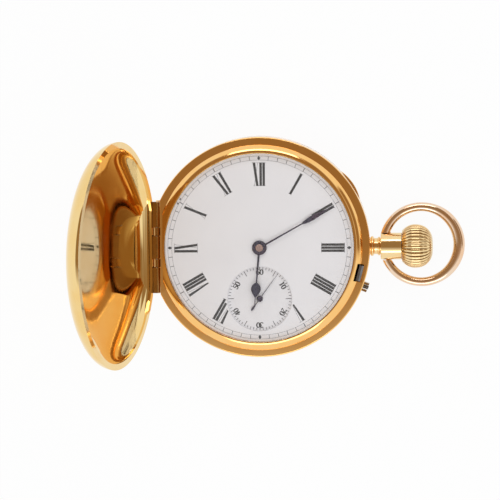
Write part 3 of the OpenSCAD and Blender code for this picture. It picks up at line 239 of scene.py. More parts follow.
class WatchStageSettings(PropertyGroup):
    """Camera, lamps and background."""

    distance: FloatProperty(name="Camera distance", description="From the dial to the camera",
                            default=0.6, unit="LENGTH")
    lens: FloatProperty(name="Lens", description="Focal length in millimetres", default=190.0)
    tilt_right: angle("Tilt right", "How far the camera stands to the right", 3.1)
    tilt_up: angle("Tilt up", "How far the camera stands towards twelve", 5.0)
    roll: angle("Roll", "Turn of the camera about its view", -0.4)
    aim_x: length("Aim across", "Point that the camera aims at", -2.17)
    aim_y: length("Aim up", "Point that the camera aims at", -0.57)
    world: level("Room light", "Level of the room's light on the object", 0.78)
    key: level("Key lamp", "Power of the lamp over twelve", 0.9)
    fill: level("Fill lamp", "Power of the lamp over six", 0.7)
    card: colour("Card", "Warm cards that the gold shows", (0.33, 0.215, 0.115))


# Mesh tools


def place_z(r, h, a):
    """A point of a piece that is round about the dial's axis."""
    return (r * math.cos(a), r * math.sin(a), h)


def place_x(r, h, a):
    """A point of a piece that is round about the winding stem."""
    return (h, r * math.cos(a), STEM_Z + r * math.sin(a))


def lathe(profile, sides, place=place_z):
    """Solid of revolution from a closed profile of (radius, height) points."""
    bm = bmesh.new()
    rings = []
    for r, h in profile:
        count = 1 if r < 1e-9 else sides
        rings.append([bm.verts.new(place(r, h, 2 * math.pi * k / sides)) for k in range(count)])
    for ring, other in zip(rings, rings[1:] + rings[:1]):
        for k in range(sides):
            corners = [ring[k % len(ring)], ring[(k + 1) % len(ring)],
                       other[(k + 1) % len(other)], other[k % len(other)]]
            corners = list(dict.fromkeys(corners))
            if len(corners) > 2:
                bm.faces.new(corners)
    bmesh.ops.recalc_face_normals(bm, faces=bm.faces)
    return bm


def disc(r, start, end, sides, place=place_z):
    """A plain round disc, pin or boring tool, from one height to another."""
    return lathe([(0, start), (r, start), (r, end), (0, end)], sides, place)


def arc(cx, cy, r, start, end, steps):
    """Points of an arc, with its angles in degrees."""
    turns = [math.radians(start + (end - start) * i / steps) for i in range(steps + 1)]
    return [(cx + r * math.cos(t), cy + r * math.sin(t)) for t in turns]


def keep_right_of(bm, x):
    """Cuts a solid on the chord at x, and closes the cut with a flat face."""
    cut = bmesh.ops.bisect_plane(bm, geom=bm.verts[:] + bm.edges[:] + bm.faces[:],
                                 plane_co=(x, 0, 0), plane_no=(1, 0, 0), clear_inner=True)
    edges = [g for g in cut["geom_cut"] if isinstance(g, bmesh.types.BMEdge)]
    bmesh.ops.edgeloop_fill(bm, edges=edges)
    bmesh.ops.recalc_face_normals(bm, faces=bm.faces)
    return bm


def block(lo, hi):
    """A small block between two corners."""
    bm = bmesh.new()
    bmesh.ops.create_cube(bm, size=1.0)
    for v in bm.verts:
        v.co = Vector([lo[i] + (v.co[i] + 0.5) * (hi[i] - lo[i]) for i in range(3)])
    return bm


def rod(r, start, end, sides=48, edge=0.08 * MM):
    """A rod along Y with eased ends, about the origin."""
    profile = [(0, start), (r - edge, start), (r, start + edge),
               (r, end - edge), (r - edge, end), (0, end)]
    return lathe(profile, sides, lambda q, h, a: (q * math.cos(a), h, q * math.sin(a)))


def prism(points, z0, z1):
    """A flat outline given in order, drawn out from one height to another."""
    bm = bmesh.new()
    base = [bm.verts.new((x, y, z0)) for x, y in points]
    top = [bm.verts.new((x, y, z1)) for x, y in points]
    bm.faces.new(base[::-1])
    bm.faces.new(top)
    for k in range(len(points)):
        n = (k + 1) % len(points)
        bm.faces.new((base[k], base[n], top[n], top[k]))
    bmesh.ops.recalc_face_normals(bm, faces=bm.faces)
    return bm


def moved(bm, matrix):
    """A mesh after a move."""
    bm.transform(matrix)
    return bm


def gathered(parts):
    """Several meshes in one."""
    whole = bmesh.new()
    for bm in parts:
        mesh = bpy.data.meshes.new("part")
        bm.to_mesh(mesh)
        bm.free()
        whole.from_mesh(mesh)
        bpy.data.meshes.remove(mesh)
    return whole


def made(name, bm):
    """A new object from a mesh in the making."""
    mesh = bpy.data.meshes.new(name)
    bm.to_mesh(mesh)
    bm.free()
    obj = bpy.data.objects.new(name, mesh)
    bpy.context.scene.collection.objects.link(obj)
    return obj


def settle(obj):
    """Applies an object's modifiers to its mesh."""
    bpy.context.view_layer.update()
    shaped = obj.evaluated_get(bpy.context.evaluated_depsgraph_get())
    mesh = bpy.data.meshes.new_from_object(shaped)
    old = obj.data
    obj.modifiers.clear()
    obj.data = mesh
    bpy.data.meshes.remove(old)
    return obj


def cut_by(obj, helpers, way="DIFFERENCE"):
    """Cuts an object with helper objects, or joins them to it, and removes them."""
    for helper in helpers:
        step = obj.modifiers.new("tool", "BOOLEAN")
        step.operation = way
        step.solver = "EXACT"
        step.object = helper
    settle(obj)
    for helper in helpers:
        bpy.data.objects.remove(helper)
    if len(obj.data.polygons) == 0:
        raise RuntimeError(f"{obj.name}: the cut left nothing")
    return obj


def cut_with(obj, tools, way="DIFFERENCE"):
    """Cuts an object with closed meshes, or joins them to it."""
    return cut_by(obj, [made("tool", tool) for tool in tools], way)


def ease_edges(obj, width, steps=2):
    """Rounds the edges of an object that are sharper than 35 degrees."""
    step = obj.modifiers.new("ease", "BEVEL")
    step.width = width
    step.segments = steps
    step.limit_method = "ANGLE"
    step.angle_limit = math.radians(35)
    step.use_clamp_overlap = True
    return settle(obj)


def dress(obj, body, material, stands_for=(), crease=32, flat_area=None):
    """Gives a piece its shading, finish and body, and hides the frame's parts that it stands for."""
    obj.data.materials.clear()
    obj.data.materials.append(material)
    smooth = [flat_area is None or p.area < flat_area for p in obj.data.polygons]
    obj.data.polygons.foreach_set("use_smooth", smooth)
    obj.data.set_sharp_from_angle(angle=math.radians(crease))
    obj.data.update()
    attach(obj, body)
    if stands_for:
        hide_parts(*stands_for)
    return obj


# Finishes


def node(tree, kind, values=None, **settings):
    """Adds a node; its values are numbers, or sockets to link."""
    new = tree.nodes.new(kind)
    for key, value in settings.items():
        setattr(new, key, value)
    for key, value in (values or {}).items():
        if isinstance(value, bpy.types.NodeSocket):
            tree.links.new(value, new.inputs[key])
        else:
            new.inputs[key].default_value = value
    return new


def mixed(tree, share, first, second):
    """Mixes two colours."""
    mix = node(tree, "ShaderNodeMix", {0: share, 6: first, 7: second}, data_type="RGBA")
    return mix.outputs[2]


def between(tree, value, lo, hi, to_lo=0.0, to_hi=1.0):
    """Maps a value from one range onto another, and holds it there."""
    return node(tree, "ShaderNodeMapRange",
                {"Value": value, "From Min": lo, "From Max": hi,
                 "To Min": to_lo, "To Max": to_hi}).outputs["Result"]


def noise(tree, vector, scale, detail=3.0, roughness=0.5):
    """A noise value from 0 to 1."""
    return node(tree, "ShaderNodeTexNoise",
                {"Vector": vector, "Scale": scale, "Detail": detail,
                 "Roughness": roughness}).outputs[0]


def math_of(tree, operation, first, second=0.0):
    """A sum, product or other step on two values."""
    return node(tree, "ShaderNodeMath", {0: first, 1: second}, operation=operation).outputs[0]


def stretched(tree, vector, turn, scale):
    """Coordinates turned and stretched, for streaks."""
    return node(tree, "ShaderNodeMapping",
                {"Vector": vector, "Rotation": turn, "Scale": scale}).outputs[0]


def start_group(name, inputs):
    """A group with a Vector and named inputs, and colour, roughness and height outputs."""
    tree = bpy.data.node_groups.new(name, "ShaderNodeTree")
    sockets = tree.interface
    sockets.new_socket("Vector", in_out="INPUT", socket_type="NodeSocketVector")
    for label, value in inputs.items():
        kind = "NodeSocketColor" if isinstance(value, tuple) else "NodeSocketFloat"
        sockets.new_socket(label, in_out="INPUT", socket_type=kind).default_value = value
    sockets.new_socket("Color", in_out="OUTPUT", socket_type="NodeSocketColor")
    sockets.new_socket("Roughness", in_out="OUTPUT", socket_type="NodeSocketFloat")
    sockets.new_socket("Height", in_out="OUTPUT", socket_type="NodeSocketFloat")
    inside = tree.nodes.new("NodeGroupInput").outputs
    return tree, inside, tree.nodes.new("NodeGroupOutput").inputs


def handled_metal_group():
    """Polished metal that has been carried: slow waves, hairline scratches, dull patches."""
    tree, inside, out = start_group("Handled metal", {
        "Color": (0.9, 0.6, 0.3, 1.0), "Worn Color": (0.85, 0.5, 0.2, 1.0),
        "Patch Scale": 180.0, "Polish": 0.06, "Dull": 0.2,
        "Wave Scale": 140.0, "Wave Height": 0.012, "Scratch Scale": 900.0,
        "Scratch Height": 0.0006})
    vector = inside["Vector"]
    patches = noise(tree, vector, inside["Patch Scale"], 4.0, 0.6)
    worn = between(tree, patches, 0.42, 0.68)
    fine = noise(tree, vector, 5200.0, 2.0)
    first = noise(tree, stretched(tree, vector, (0.3, 0.2, 0.7), (1.0, 0.04, 1.0)),
                  inside["Scratch Scale"], 2.0, 0.7)
    second = noise(tree, stretched(tree, vector, (0.1, 0.5, -0.9), (1.0, 0.03, 1.0)),
                   inside["Scratch Scale"], 2.0, 0.7)
    lines = math_of(tree, "MAXIMUM", between(tree, first, 0.62, 0.72),
                    between(tree, second, 0.64, 0.74))
    waves = noise(tree, vector, inside["Wave Scale"], 1.0, 0.4)
    dull = math_of(tree, "MULTIPLY", between(tree, fine, 0.3, 0.7, 0.7, 1.0), worn)
    tree.links.new(mixed(tree, worn, inside["Color"], inside["Worn Color"]), out["Color"])
    rough = between(tree, math_of(tree, "MAXIMUM", dull, math_of(tree, "MULTIPLY", lines, 0.6)),
                    0.0, 1.0, inside["Polish"], inside["Dull"])
    tree.links.new(rough, out["Roughness"])
    height = math_of(tree, "SUBTRACT", math_of(tree, "MULTIPLY", waves, inside["Wave Height"]),
                     math_of(tree, "MULTIPLY", lines, inside["Scratch Height"]))
    tree.links.new(height, out["Height"])
    return tree


def grained_group():
    """Grained gilding: a fine even tooth with slow changes of tone."""
    tree, inside, out = start_group("Grained gilding", {
        "Color": (0.8, 0.5, 0.2, 1.0), "Deep Color": (0.6, 0.35, 0.1, 1.0),
        "Grain Scale": 9000.0, "Bright": 0.3, "Dull": 0.5, "Grain Height": 0.004})
    vector = inside["Vector"]
    grain = noise(tree, vector, inside["Grain Scale"], 2.0, 0.8)
    tone = noise(tree, vector, 160.0, 4.0, 0.6)
    share = math_of(tree, "MULTIPLY", between(tree, tone, 0.35, 0.75),
                    between(tree, grain, 0.2, 0.8, 0.6, 1.0))
    tree.links.new(mixed(tree, share, inside["Color"], inside["Deep Color"]), out["Color"])
    tree.links.new(between(tree, grain, 0.25, 0.75, inside["Bright"], inside["Dull"]),
                   out["Roughness"])
    tree.links.new(math_of(tree, "MULTIPLY", grain, inside["Grain Height"]), out["Height"])
    return tree


def fluted_group():
    """Fluted metal round the winding stem, with painted shade darkening its grooves, its strength
    varied in random patches.
    """
    tree, inside, out = start_group("Fluted gold", {
        "Color": (0.9, 0.7, 0.4, 1.0), "Groove Color": (0.24, 0.12, 0.04, 1.0), "Flutes": 33.0,
        "Groove Width": 0.2, "Stem Height": 0.008, "Polish": 0.08, "Dull": 0.3,
        "Wave Height": 0.006})
    vector = inside["Vector"]
    split = node(tree, "ShaderNodeSeparateXYZ", {0: vector}).outputs
    rise = math_of(tree, "SUBTRACT", split[2], inside["Stem Height"])
    turn = math_of(tree, "DIVIDE", math_of(tree, "ARCTAN2", rise, split[1]), 2 * math.pi)
    share = math_of(tree, "FRACT", math_of(tree, "MULTIPLY", turn, inside["Flutes"]))
    off = math_of(tree, "ABSOLUTE", math_of(tree, "SUBTRACT", share, 0.5))
    patches = noise(tree, vector, 700.0, 3.0, 0.6)
    # Painted shade: a dark band along each groove, stronger in some random patches than in others.
    groove_shade = math_of(tree, "MULTIPLY", between(tree, off, 0.03, inside["Groove Width"], 1.0, 0.0),
                     between(tree, patches, 0.3, 0.6, 0.6, 1.0))
    tree.links.new(mixed(tree, groove_shade, inside["Color"], inside["Groove Color"]), out["Color"])
    tree.links.new(between(tree, groove_shade, 0.0, 1.0, inside["Polish"], inside["Dull"]),
                   out["Roughness"])
    tree.links.new(math_of(tree, "MULTIPLY", noise(tree, vector, 260.0, 1.0, 0.4),
                           inside["Wave Height"]), out["Height"])
    return tree


def brushed_group():
    """Steel drawn over a stone: fine straight lines in one direction."""
    tree, inside, out = start_group("Drawn steel", {
        "Color": (0.55, 0.55, 0.58, 1.0), "Deep Color": (0.4, 0.4, 0.42, 1.0),
        "Line Scale": 4200.0, "Bright": 0.16, "Dull": 0.34, "Line Height": 0.0012})
    vector = inside["Vector"]
    lines = noise(tree, stretched(tree, vector, (0.0, 0.0, 0.5), (1.0, 0.02, 1.0)),
                  inside["Line Scale"], 2.0, 0.6)
    cloud = noise(tree, vector, 320.0, 3.0, 0.5)
    share = math_of(tree, "MULTIPLY", between(tree, lines, 0.3, 0.7),
                    between(tree, cloud, 0.3, 0.8, 0.4, 1.0))
    tree.links.new(mixed(tree, share, inside["Color"], inside["Deep Color"]), out["Color"])
    tree.links.new(between(tree, lines, 0.3, 0.7, inside["Bright"], inside["Dull"]),
                   out["Roughness"])
    tree.links.new(math_of(tree, "MULTIPLY", lines, inside["Line Height"]), out["Height"])
    return tree


def glaze_group():
    """Fired glaze: faint clouds of tone and a soft unevenness of the surface."""
    tree, inside, out = start_group("Fired glaze", {
        "Color": (0.8, 0.8, 0.8, 1.0), "Tint": (0.77, 0.75, 0.76, 1.0),
        "Cloud Scale": 120.0, "Gloss": 0.1, "Dull": 0.22, "Peel Height": 0.003})
    vector = inside["Vector"]
    cloud = noise(tree, vector, inside["Cloud Scale"], 3.0, 0.55)
    peel = noise(tree, vector, 700.0, 2.0, 0.5)
    tree.links.new(mixed(tree, between(tree, cloud, 0.35, 0.7), inside["Color"],
                         inside["Tint"]), out["Color"])
    tree.links.new(between(tree, peel, 0.3, 0.8, inside["Gloss"], inside["Dull"]),
                   out["Roughness"])
    tree.links.new(math_of(tree, "MULTIPLY", peel, inside["Peel Height"]), out["Height"])
    return tree


def rgba(value, scale=1.0):
    """A colour with its alpha."""
    return tuple(min(1.0, c * scale) for c in value) + (1.0,)


def empty_material(name):
    """A new material, and its empty node tree."""
    material = bpy.data.materials.new(name)
    material.use_nodes = True
    material.node_tree.nodes.clear()
    return material, material.node_tree


def end_with(tree, shader, kind="ShaderNodeOutputMaterial"):
    """Leads the last shader to the output."""
    node(tree, kind, {"Surface": shader.outputs[0]})


def blended(tree, share, first, second):
    """A share of the second shader over the first."""
    return node(tree, "ShaderNodeMixShader", {0: share, 1: first.outputs[0], 2: second.outputs[0]})


def seen_plainly(tree):
    """1 for what the camera sees, straight, in metal or through glass."""
    path = tree.nodes.new("ShaderNodeLightPath").outputs
    return math_of(tree, "MAXIMUM", path["Is Camera Ray"],
                   math_of(tree, "MAXIMUM", path["Is Glossy Ray"], path["Is Transmission Ray"]))


def finish(name, group, values, constants):
    """A material with one shader, fed by one placing of a shared group."""
    material, tree = empty_material(name)
    where = tree.nodes.new("ShaderNodeTexCoord").outputs["Object"]
    placed = node(tree, "ShaderNodeGroup", {"Vector": where, **values}, node_tree=group).outputs
    bump = node(tree, "ShaderNodeBump", {"Height": placed["Height"], "Strength": 1.0,
                                         "Distance": MM})
    end_with(tree, node(tree, "ShaderNodeBsdfPrincipled", {
        "Base Color": placed["Color"], "Roughness": placed["Roughness"],
        "Normal": bump.outputs[0], **constants}))
    return material


def glass_finish():
    """Clear glass that lets the lamps through to the dial."""
    material, tree = empty_material("Watch glass")
    where = tree.nodes.new("ShaderNodeTexCoord").outputs["Object"]
    marks = noise(tree, stretched(tree, where, (0.2, 0.1, 0.9), (1.0, 0.05, 1.0)), 1400.0, 2.0)
    shader = node(tree, "ShaderNodeBsdfPrincipled",
                  {"Base Color": (1, 1, 1, 1), "Metallic": 0.0, "Transmission Weight": 1.0,
                   "IOR": 1.45, "Roughness": between(tree, marks, 0.66, 0.8, 0.0, 0.05)})
    clear = node(tree, "ShaderNodeBsdfTransparent", {"Color": (0.985, 0.985, 0.985, 1)})
    path = tree.nodes.new("ShaderNodeLightPath").outputs
    share = math_of(tree, "MAXIMUM", path["Is Shadow Ray"], path["Is Diffuse Ray"])
    end_with(tree, blended(tree, share, shader, clear))
    return material


FINISH = {}


def worn_tone(value, green, blue):
    """A colour's redder tone on worn patches."""
    return rgba((value[0], value[1] * green, value[2] * blue))


def make_finishes(settings):
    """Builds the shared groups once, and each finish from them."""
    metal, grained = handled_metal_group(), grained_group()
    brushed, glaze = brushed_group(), glaze_group()
    gold, pale, rose = settings.gold, settings.gold_pale, settings.gold_rose
    sheet = settings.gold_sheet
    metallic = {"Metallic": 1.0}
    glazed = {"Metallic": 0.0, "Coat Weight": 0.6, "Coat Roughness": 0.05}
    FINISH["gold"] = finish("Polished gold", metal, {
        "Color": rgba(gold), "Worn Color": worn_tone(gold, 0.93, 0.8),
        "Polish": 0.07, "Dull": 0.17, "Wave Height": 0.012}, metallic)
    FINISH["lid"] = finish("Polished gold sheet", metal, {
        "Color": rgba(sheet), "Worn Color": worn_tone(sheet, 0.93, 0.8),
        "Patch Scale": 120.0, "Polish": 0.035, "Dull": 0.11, "Wave Scale": 75.0,
        "Wave Height": 0.05, "Scratch Height": 0.0009}, metallic)
    # Painted shade: the case gold darkened for the hinge knuckles and the set pin's guards, darker
    # still in random patches.
    FINISH["gold_hinge"] = finish("Darkened gold of the hinges", metal, {
        "Color": rgba(gold, 0.62), "Worn Color": rgba(gold, 0.4),
        "Polish": 0.12, "Dull": 0.3, "Wave Height": 0.004}, metallic)
    FINISH["gold_pale"] = finish("Pale gold", metal, {
        "Color": rgba(pale), "Worn Color": worn_tone(pale, 0.9, 0.8),
        "Polish": 0.09, "Dull": 0.22, "Wave Height": 0.006}, metallic)
    FINISH["crown"] = finish("Fluted crown gold", fluted_group(), {
        "Color": rgba(pale), "Stem Height": STEM_Z}, metallic)
    FINISH["gold_rose"] = finish("Rose gold", metal, {
        "Color": rgba(rose), "Worn Color": worn_tone(rose, 0.86, 0.75),
        "Polish": 0.08, "Dull": 0.2, "Wave Height": 0.006}, metallic)
    FINISH["gilt"] = finish("Grained gilding", grained, {
        "Color": rgba(settings.gilt), "Deep Color": rgba(settings.gilt, 0.8)}, metallic)
    FINISH["brass"] = finish("Polished gilt wheel", grained, {
        "Color": rgba(settings.gilt, 1.08), "Deep Color": rgba(settings.gilt, 0.88),
        "Bright": 0.12, "Dull": 0.26, "Grain Height": 0.001}, metallic)
    FINISH["steel"] = finish("Drawn steel", brushed, {
        "Color": rgba(settings.steel), "Deep Color": rgba(settings.steel, 0.72)}, metallic)
    FINISH["dark_steel"] = finish("Dark steel", brushed, {
        "Color": rgba(settings.steel, 0.42), "Deep Color": rgba(settings.steel, 0.26),
        "Bright": 0.22, "Dull": 0.45}, metallic)
    FINISH["polished_steel"] = finish("Polished steel", metal, {
        "Color": rgba(settings.steel), "Worn Color": rgba(settings.steel, 0.8),
        "Polish": 0.06, "Dull": 0.16, "Wave Height": 0.002}, metallic)
    blued = settings.blued
    FINISH["blued"] = finish("Blued steel", metal, {
        "Color": rgba(blued), "Worn Color": rgba((blued[0] * 1.7, blued[1] * 1.1, blued[2])),
        "Patch Scale": 260.0, "Polish": 0.16, "Dull": 0.3, "Wave Height": 0.002},
        {"Metallic": 0.85, "Specular IOR Level": 0.5})
    FINISH["boss"] = finish("Polished boss", metal, {
        "Color": (0.36, 0.24, 0.2, 1), "Worn Color": (0.26, 0.16, 0.15, 1),
        "Polish": 0.12, "Dull": 0.24, "Wave Height": 0.002}, metallic)
    enamel = settings.enamel
    FINISH["enamel"] = finish("White enamel", glaze, {
        "Color": rgba(enamel), "Tint": rgba(enamel, 0.97)}, glazed)
    FINISH["small_enamel"] = finish("White enamel of the seconds dial", glaze, {
        "Color": rgba(enamel, 0.97), "Tint": rgba(enamel, 0.93), "Cloud Scale": 260.0}, glazed)
    FINISH["ink"] = finish("Fired black print", glaze, {
        "Color": rgba(settings.ink), "Tint": rgba(settings.ink, 1.8), "Cloud Scale": 1500.0,
        "Gloss": 0.25, "Dull": 0.45}, {"Metallic": 0.0})
    FINISH["grey_ink"] = finish("Fine grey print", glaze, {
        "Color": (0.07, 0.065, 0.07, 1), "Tint": (0.13, 0.12, 0.125, 1),
        "Cloud Scale": 1500.0, "Gloss": 0.25, "Dull": 0.45}, {"Metallic": 0.0})
    FINISH["ruby"] = finish("Ruby", glaze, {
        "Color": rgba(settings.ruby), "Tint": rgba(settings.ruby, 0.7), "Cloud Scale": 900.0,
        "Gloss": 0.04, "Dull": 0.1, "Peel Height": 0.0005},
        {"Metallic": 0.0, "Coat Weight": 0.8, "Coat Roughness": 0.03})
    FINISH["glass"] = glass_finish()


FRAME_FINISH = {
    "gold": ["bow_pins", "cuvette"],
    # The set pin's guards take the hinges' gold with painted shade.
    "gold_hinge": ["pin_guards"],
    "gilt": ["mainplate", "barrel_bridge", "train_bridge", "balance_cock", "pallet_cock"],
    "brass": ["barrel", "centre_wheel", "third_wheel", "fourth_wheel", "escape_wheel",
              "minute_wheel", "hour_wheel", "balance_wheel"],
    "polished_steel": ["ratchet_wheel", "crown_wheel", "regulator", "pallet_fork", "roller",
                       "centre_arbor", "third_pinion", "fourth_pinion", "escape_pinion",
                       "barrel_arbor", "balance_staff", "cannon_pinion", "winding_pinion"],
    "steel": ["winding_stem", "crown_sleeve", "lid_hinge_pin", "back_hinge_pin", "click",
              "click_spring", "lift_spring"],
    "dark_steel": ["mainspring", "lock_spring", "set_pin"],
    "blued": ["bridge_screws", "case_screws", "crown_wheel_screw", "ratchet_screw",
              "hairspring"],
    "ruby": ["jewels", "pallet_stones"],
}


class WATCH_OT_finishes(Operator):
    """Make the finishes, and give them to the wheels, bridges and springs of the frame"""

    bl_idname = "watch.finishes"
    bl_label = "Finishes"

    def execute(self, context):
        make_finishes(context.scene.watch_finish)
        for key, names in FRAME_FINISH.items():
            for name in names:
                obj = frame["nodes"][name]
                if not obj.material_slots:
                    raise RuntimeError(f"{name}: no material slot")
                for slot in obj.material_slots:
                    slot.material = FINISH[key]
        return {"FINISHED"}


# Case


def turned(a):
    """A turn about the dial's axis."""
    return Matrix.Rotation(a, 4, "Z")


def chord_x(case):
    """Place of the chord on which both covers end along the hinge."""
    return HINGE_X + case.tube + 0.1 * MM


def catch_slot(case, z0, z1):
    """The slot that the catch nose moves in, on both sides of the snap rim's inner edge."""
    inner = CASE_R - case.rim_width - 1.2 * MM
    outer = CASE_R - case.rim_width + 0.7 * MM
    half = case.catch_length / 2
    return moved(block((inner, -half, z0), (outer, half, z1)), turned(case.catch_angle))


def knuckle_spans(case):
    """Ends along Y of the middle, short and outer knuckles of a hinge."""
    middle = case.knuckle_middle / 2
    short = middle + case.knuckle_short
    half = case.knuckle_gap / 2
    return {"middle": (-middle + half, middle - half), "short": (middle + half, short - half),
            "outer": (short + half, HINGE_Y - half)}


def both_sides(span):
    """A span along Y and its mirror."""
    return [span, (-span[1], -span[0])]


def hinge_tubes(case, spans, z, webs):
    """Knuckles on the hinge axis at height z, with their webs to the sheet."""
    parts = []
    for start, end in spans:
        parts.append(moved(rod(case.tube, start, end),
                           Matrix.Translation((HINGE_X, 0, z))))
        for x0, x1, z0, z1 in webs:
            parts.append(block((HINGE_X + x0, start, z + z0), (HINGE_X + x1, end, z + z1)))
    return parts


def hinge_room(case, z, rise):
    """Room in the case band for a hinge's knuckles, and for webs that rise over its axis."""
    room = case.tube + 0.12 * MM
    half = HINGE_Y + 0.15 * MM
    outside = HINGE_X - 5 * MM
    tube = moved(rod(room, -half, half, 48, 0.01 * MM), Matrix.Translation((HINGE_X, 0, z)))
    rooms = [tube, block((outside, -half, z - room), (HINGE_X, half, z + room))]
    if rise > 0:
        rooms.append(block((outside, -half, z), (HINGE_X + room, half, z + rise)))
    return rooms


class WATCH_OT_case_band(Operator):
    """Make the case band with its ledge, its catch slot and the case's hinge knuckles"""

    bl_idname = "watch.case_band"
    bl_label = "Case band"

    def execute(self, context):
        case = context.scene.watch_case
        soft = 0.3 * MM
        inner = CASE_R - case.band_wall
        opening = DIAL_R + 0.2 * MM
        seat_r = opening - 0.65 * MM
        seat_z = LEDGE_Z - 1.0 * MM
        land_r = CASE_R - case.band_wall - 1.3 * MM
        ledge_foot = [(seat_r, LEDGE_Z - 2.2 * MM), (inner - 0.4 * MM, LEDGE_Z - 2.5 * MM),
                      (inner, LEDGE_Z - 3.3 * MM)]
        land = [(inner, RIM_Z + 0.85 * MM), (land_r, RIM_Z + 0.6 * MM), (land_r, RIM_Z)]
        profile = (ledge_foot + land
                   + arc(CASE_R - soft, RIM_Z + soft, soft, -90, 0, 8)
                   + arc(CASE_R - soft, LEDGE_Z - soft, soft, 0, 90, 8)
                   + [(opening, LEDGE_Z), (opening, seat_z), (seat_r, seat_z)])
        band = made("case_band", lathe(profile, case.sides))
        stem_r, pin_r = 1.1 * MM, 0.47 * MM
        stem_hole = disc(stem_r, inner - 6 * MM, CASE_R + MM, 48, place_x)
        pin_hole = moved(disc(pin_r, inner - 4 * MM, CASE_R + MM, 32, place_x),
                         turned(case.pin_angle))
        cut_with(band, hinge_room(case, HINGE_Z, LEDGE_Z - HINGE_Z + MM)
                 + hinge_room(case, RIM_Z, 0)
                 + [stem_hole, pin_hole, catch_slot(case, LEDGE_Z - 4 * MM, LEDGE_Z + MM)])
        spans = both_sides(knuckle_spans(case)["short"])
        wing = case.tube * 0.8
        web = 1.2 * MM
        knuckles = (hinge_tubes(case, spans, HINGE_Z, [(-wing, wing, -web, 0)])
                    + hinge_tubes(case, spans, RIM_Z, [(-wing, wing, 0, web)]))
        dress(band, "case", FINISH["gold"], ["case_middle"])
        tubes = made("case_knuckles", gathered(knuckles))
        # The case's knuckles take the hinges' gold with painted shade.
        dress(tubes, "case", FINISH["gold_hinge"])
        return {"FINISHED"}


def dome(r, h, power):
    """Outline of a dome over the ledge, from its top to its rim; more power is squarer."""
    steps = 64
    turns = [math.pi / 2 * i / steps for i in range(steps + 1)]
    return [(r * math.sin(t) ** (2 / power), LEDGE_Z + h * math.cos(t)) for t in turns]


class WATCH_OT_front_cover(Operator):
    """Make the front cover with its snap rim and hinge knuckles, standing open"""

    bl_idname = "watch.front_cover"
    bl_label = "Front cover"

    def execute(self, context):
        case = context.scene.watch_case
        cut_x = chord_x(case)
        lip = CASE_R - case.rim_width
        outer = dome(CASE_R, case.lid_height, case.shoulder)
        body = keep_right_of(lathe(outer + [(0, LEDGE_Z)], case.sides), cut_x)
        rim_top = LEDGE_Z + case.rim_height
        inside = CASE_R - case.sheet
        inner = [p for p in dome(inside, case.hollow, case.square) if p[1] > rim_top]
        edge = inside * (1 - (case.rim_height / case.hollow) ** 2) ** (1 / case.square)
        hollow = made("hollow", lathe(
            inner + [(edge, rim_top), (lip, rim_top), (lip, LEDGE_Z - MM),
                     (0, LEDGE_Z - MM)], case.sides))
        wall_x = cut_x + case.chord_wall
        turn_z = LEDGE_Z + case.chord_height
        soft = case.chord_fillet
        past = CASE_R + MM
        under, over = LEDGE_Z - 2 * MM, LEDGE_Z + case.lid_height + MM
        side = ([(past, under), (past, over), (wall_x + soft, over)]
                + arc(wall_x + soft, turn_z, soft, 95, 180, 12) + [(wall_x, under)])
        fillet = moved(prism(side, -past, past), Matrix.Rotation(math.pi / 2, 4, "X"))
        cut_with(hollow, [fillet], "INTERSECT")
        cover = made("front_cover", body)
        cut_by(cover, [hollow])
        spans = knuckle_spans(case)
        drop = LEDGE_Z - HINGE_Z
        tubes = hinge_tubes(case, both_sides(spans["outer"]) + [spans["middle"]], HINGE_Z,
                            [(0, case.tube, 0, drop + case.rim_height),
                             (0, case.tube + 0.3 * MM, drop, drop + case.rim_height)])
        knuckles = made("front_cover_knuckles", gathered(tubes))
        axis = Matrix.Translation((HINGE_X, 0, HINGE_Z))
        opened = axis @ Matrix.Rotation(-LID_OPEN, 4, "Y") @ axis.inverted()
        cover.data.transform(opened)
        knuckles.data.transform(opened)
        dress(cover, "lid", FINISH["lid"], ["front_lid"])
        # The cover's knuckles take the hinges' gold with painted shade.
        dress(knuckles, "lid", FINISH["gold_hinge"])
        return {"FINISHED"}


def back_curve(case, r, h, z):
    """Outline of the back cover, from its flat to its rim."""
    steps = 48
    flat = case.back_flat
    points = []
    for i in range(steps + 1):
        t = math.pi / 2 * i / steps
        rise = 1 - max(0.0, math.cos(t)) ** 0.8
        points.append((flat + (r - flat) * math.sin(t) ** 0.8, z + h * rise))
    return points


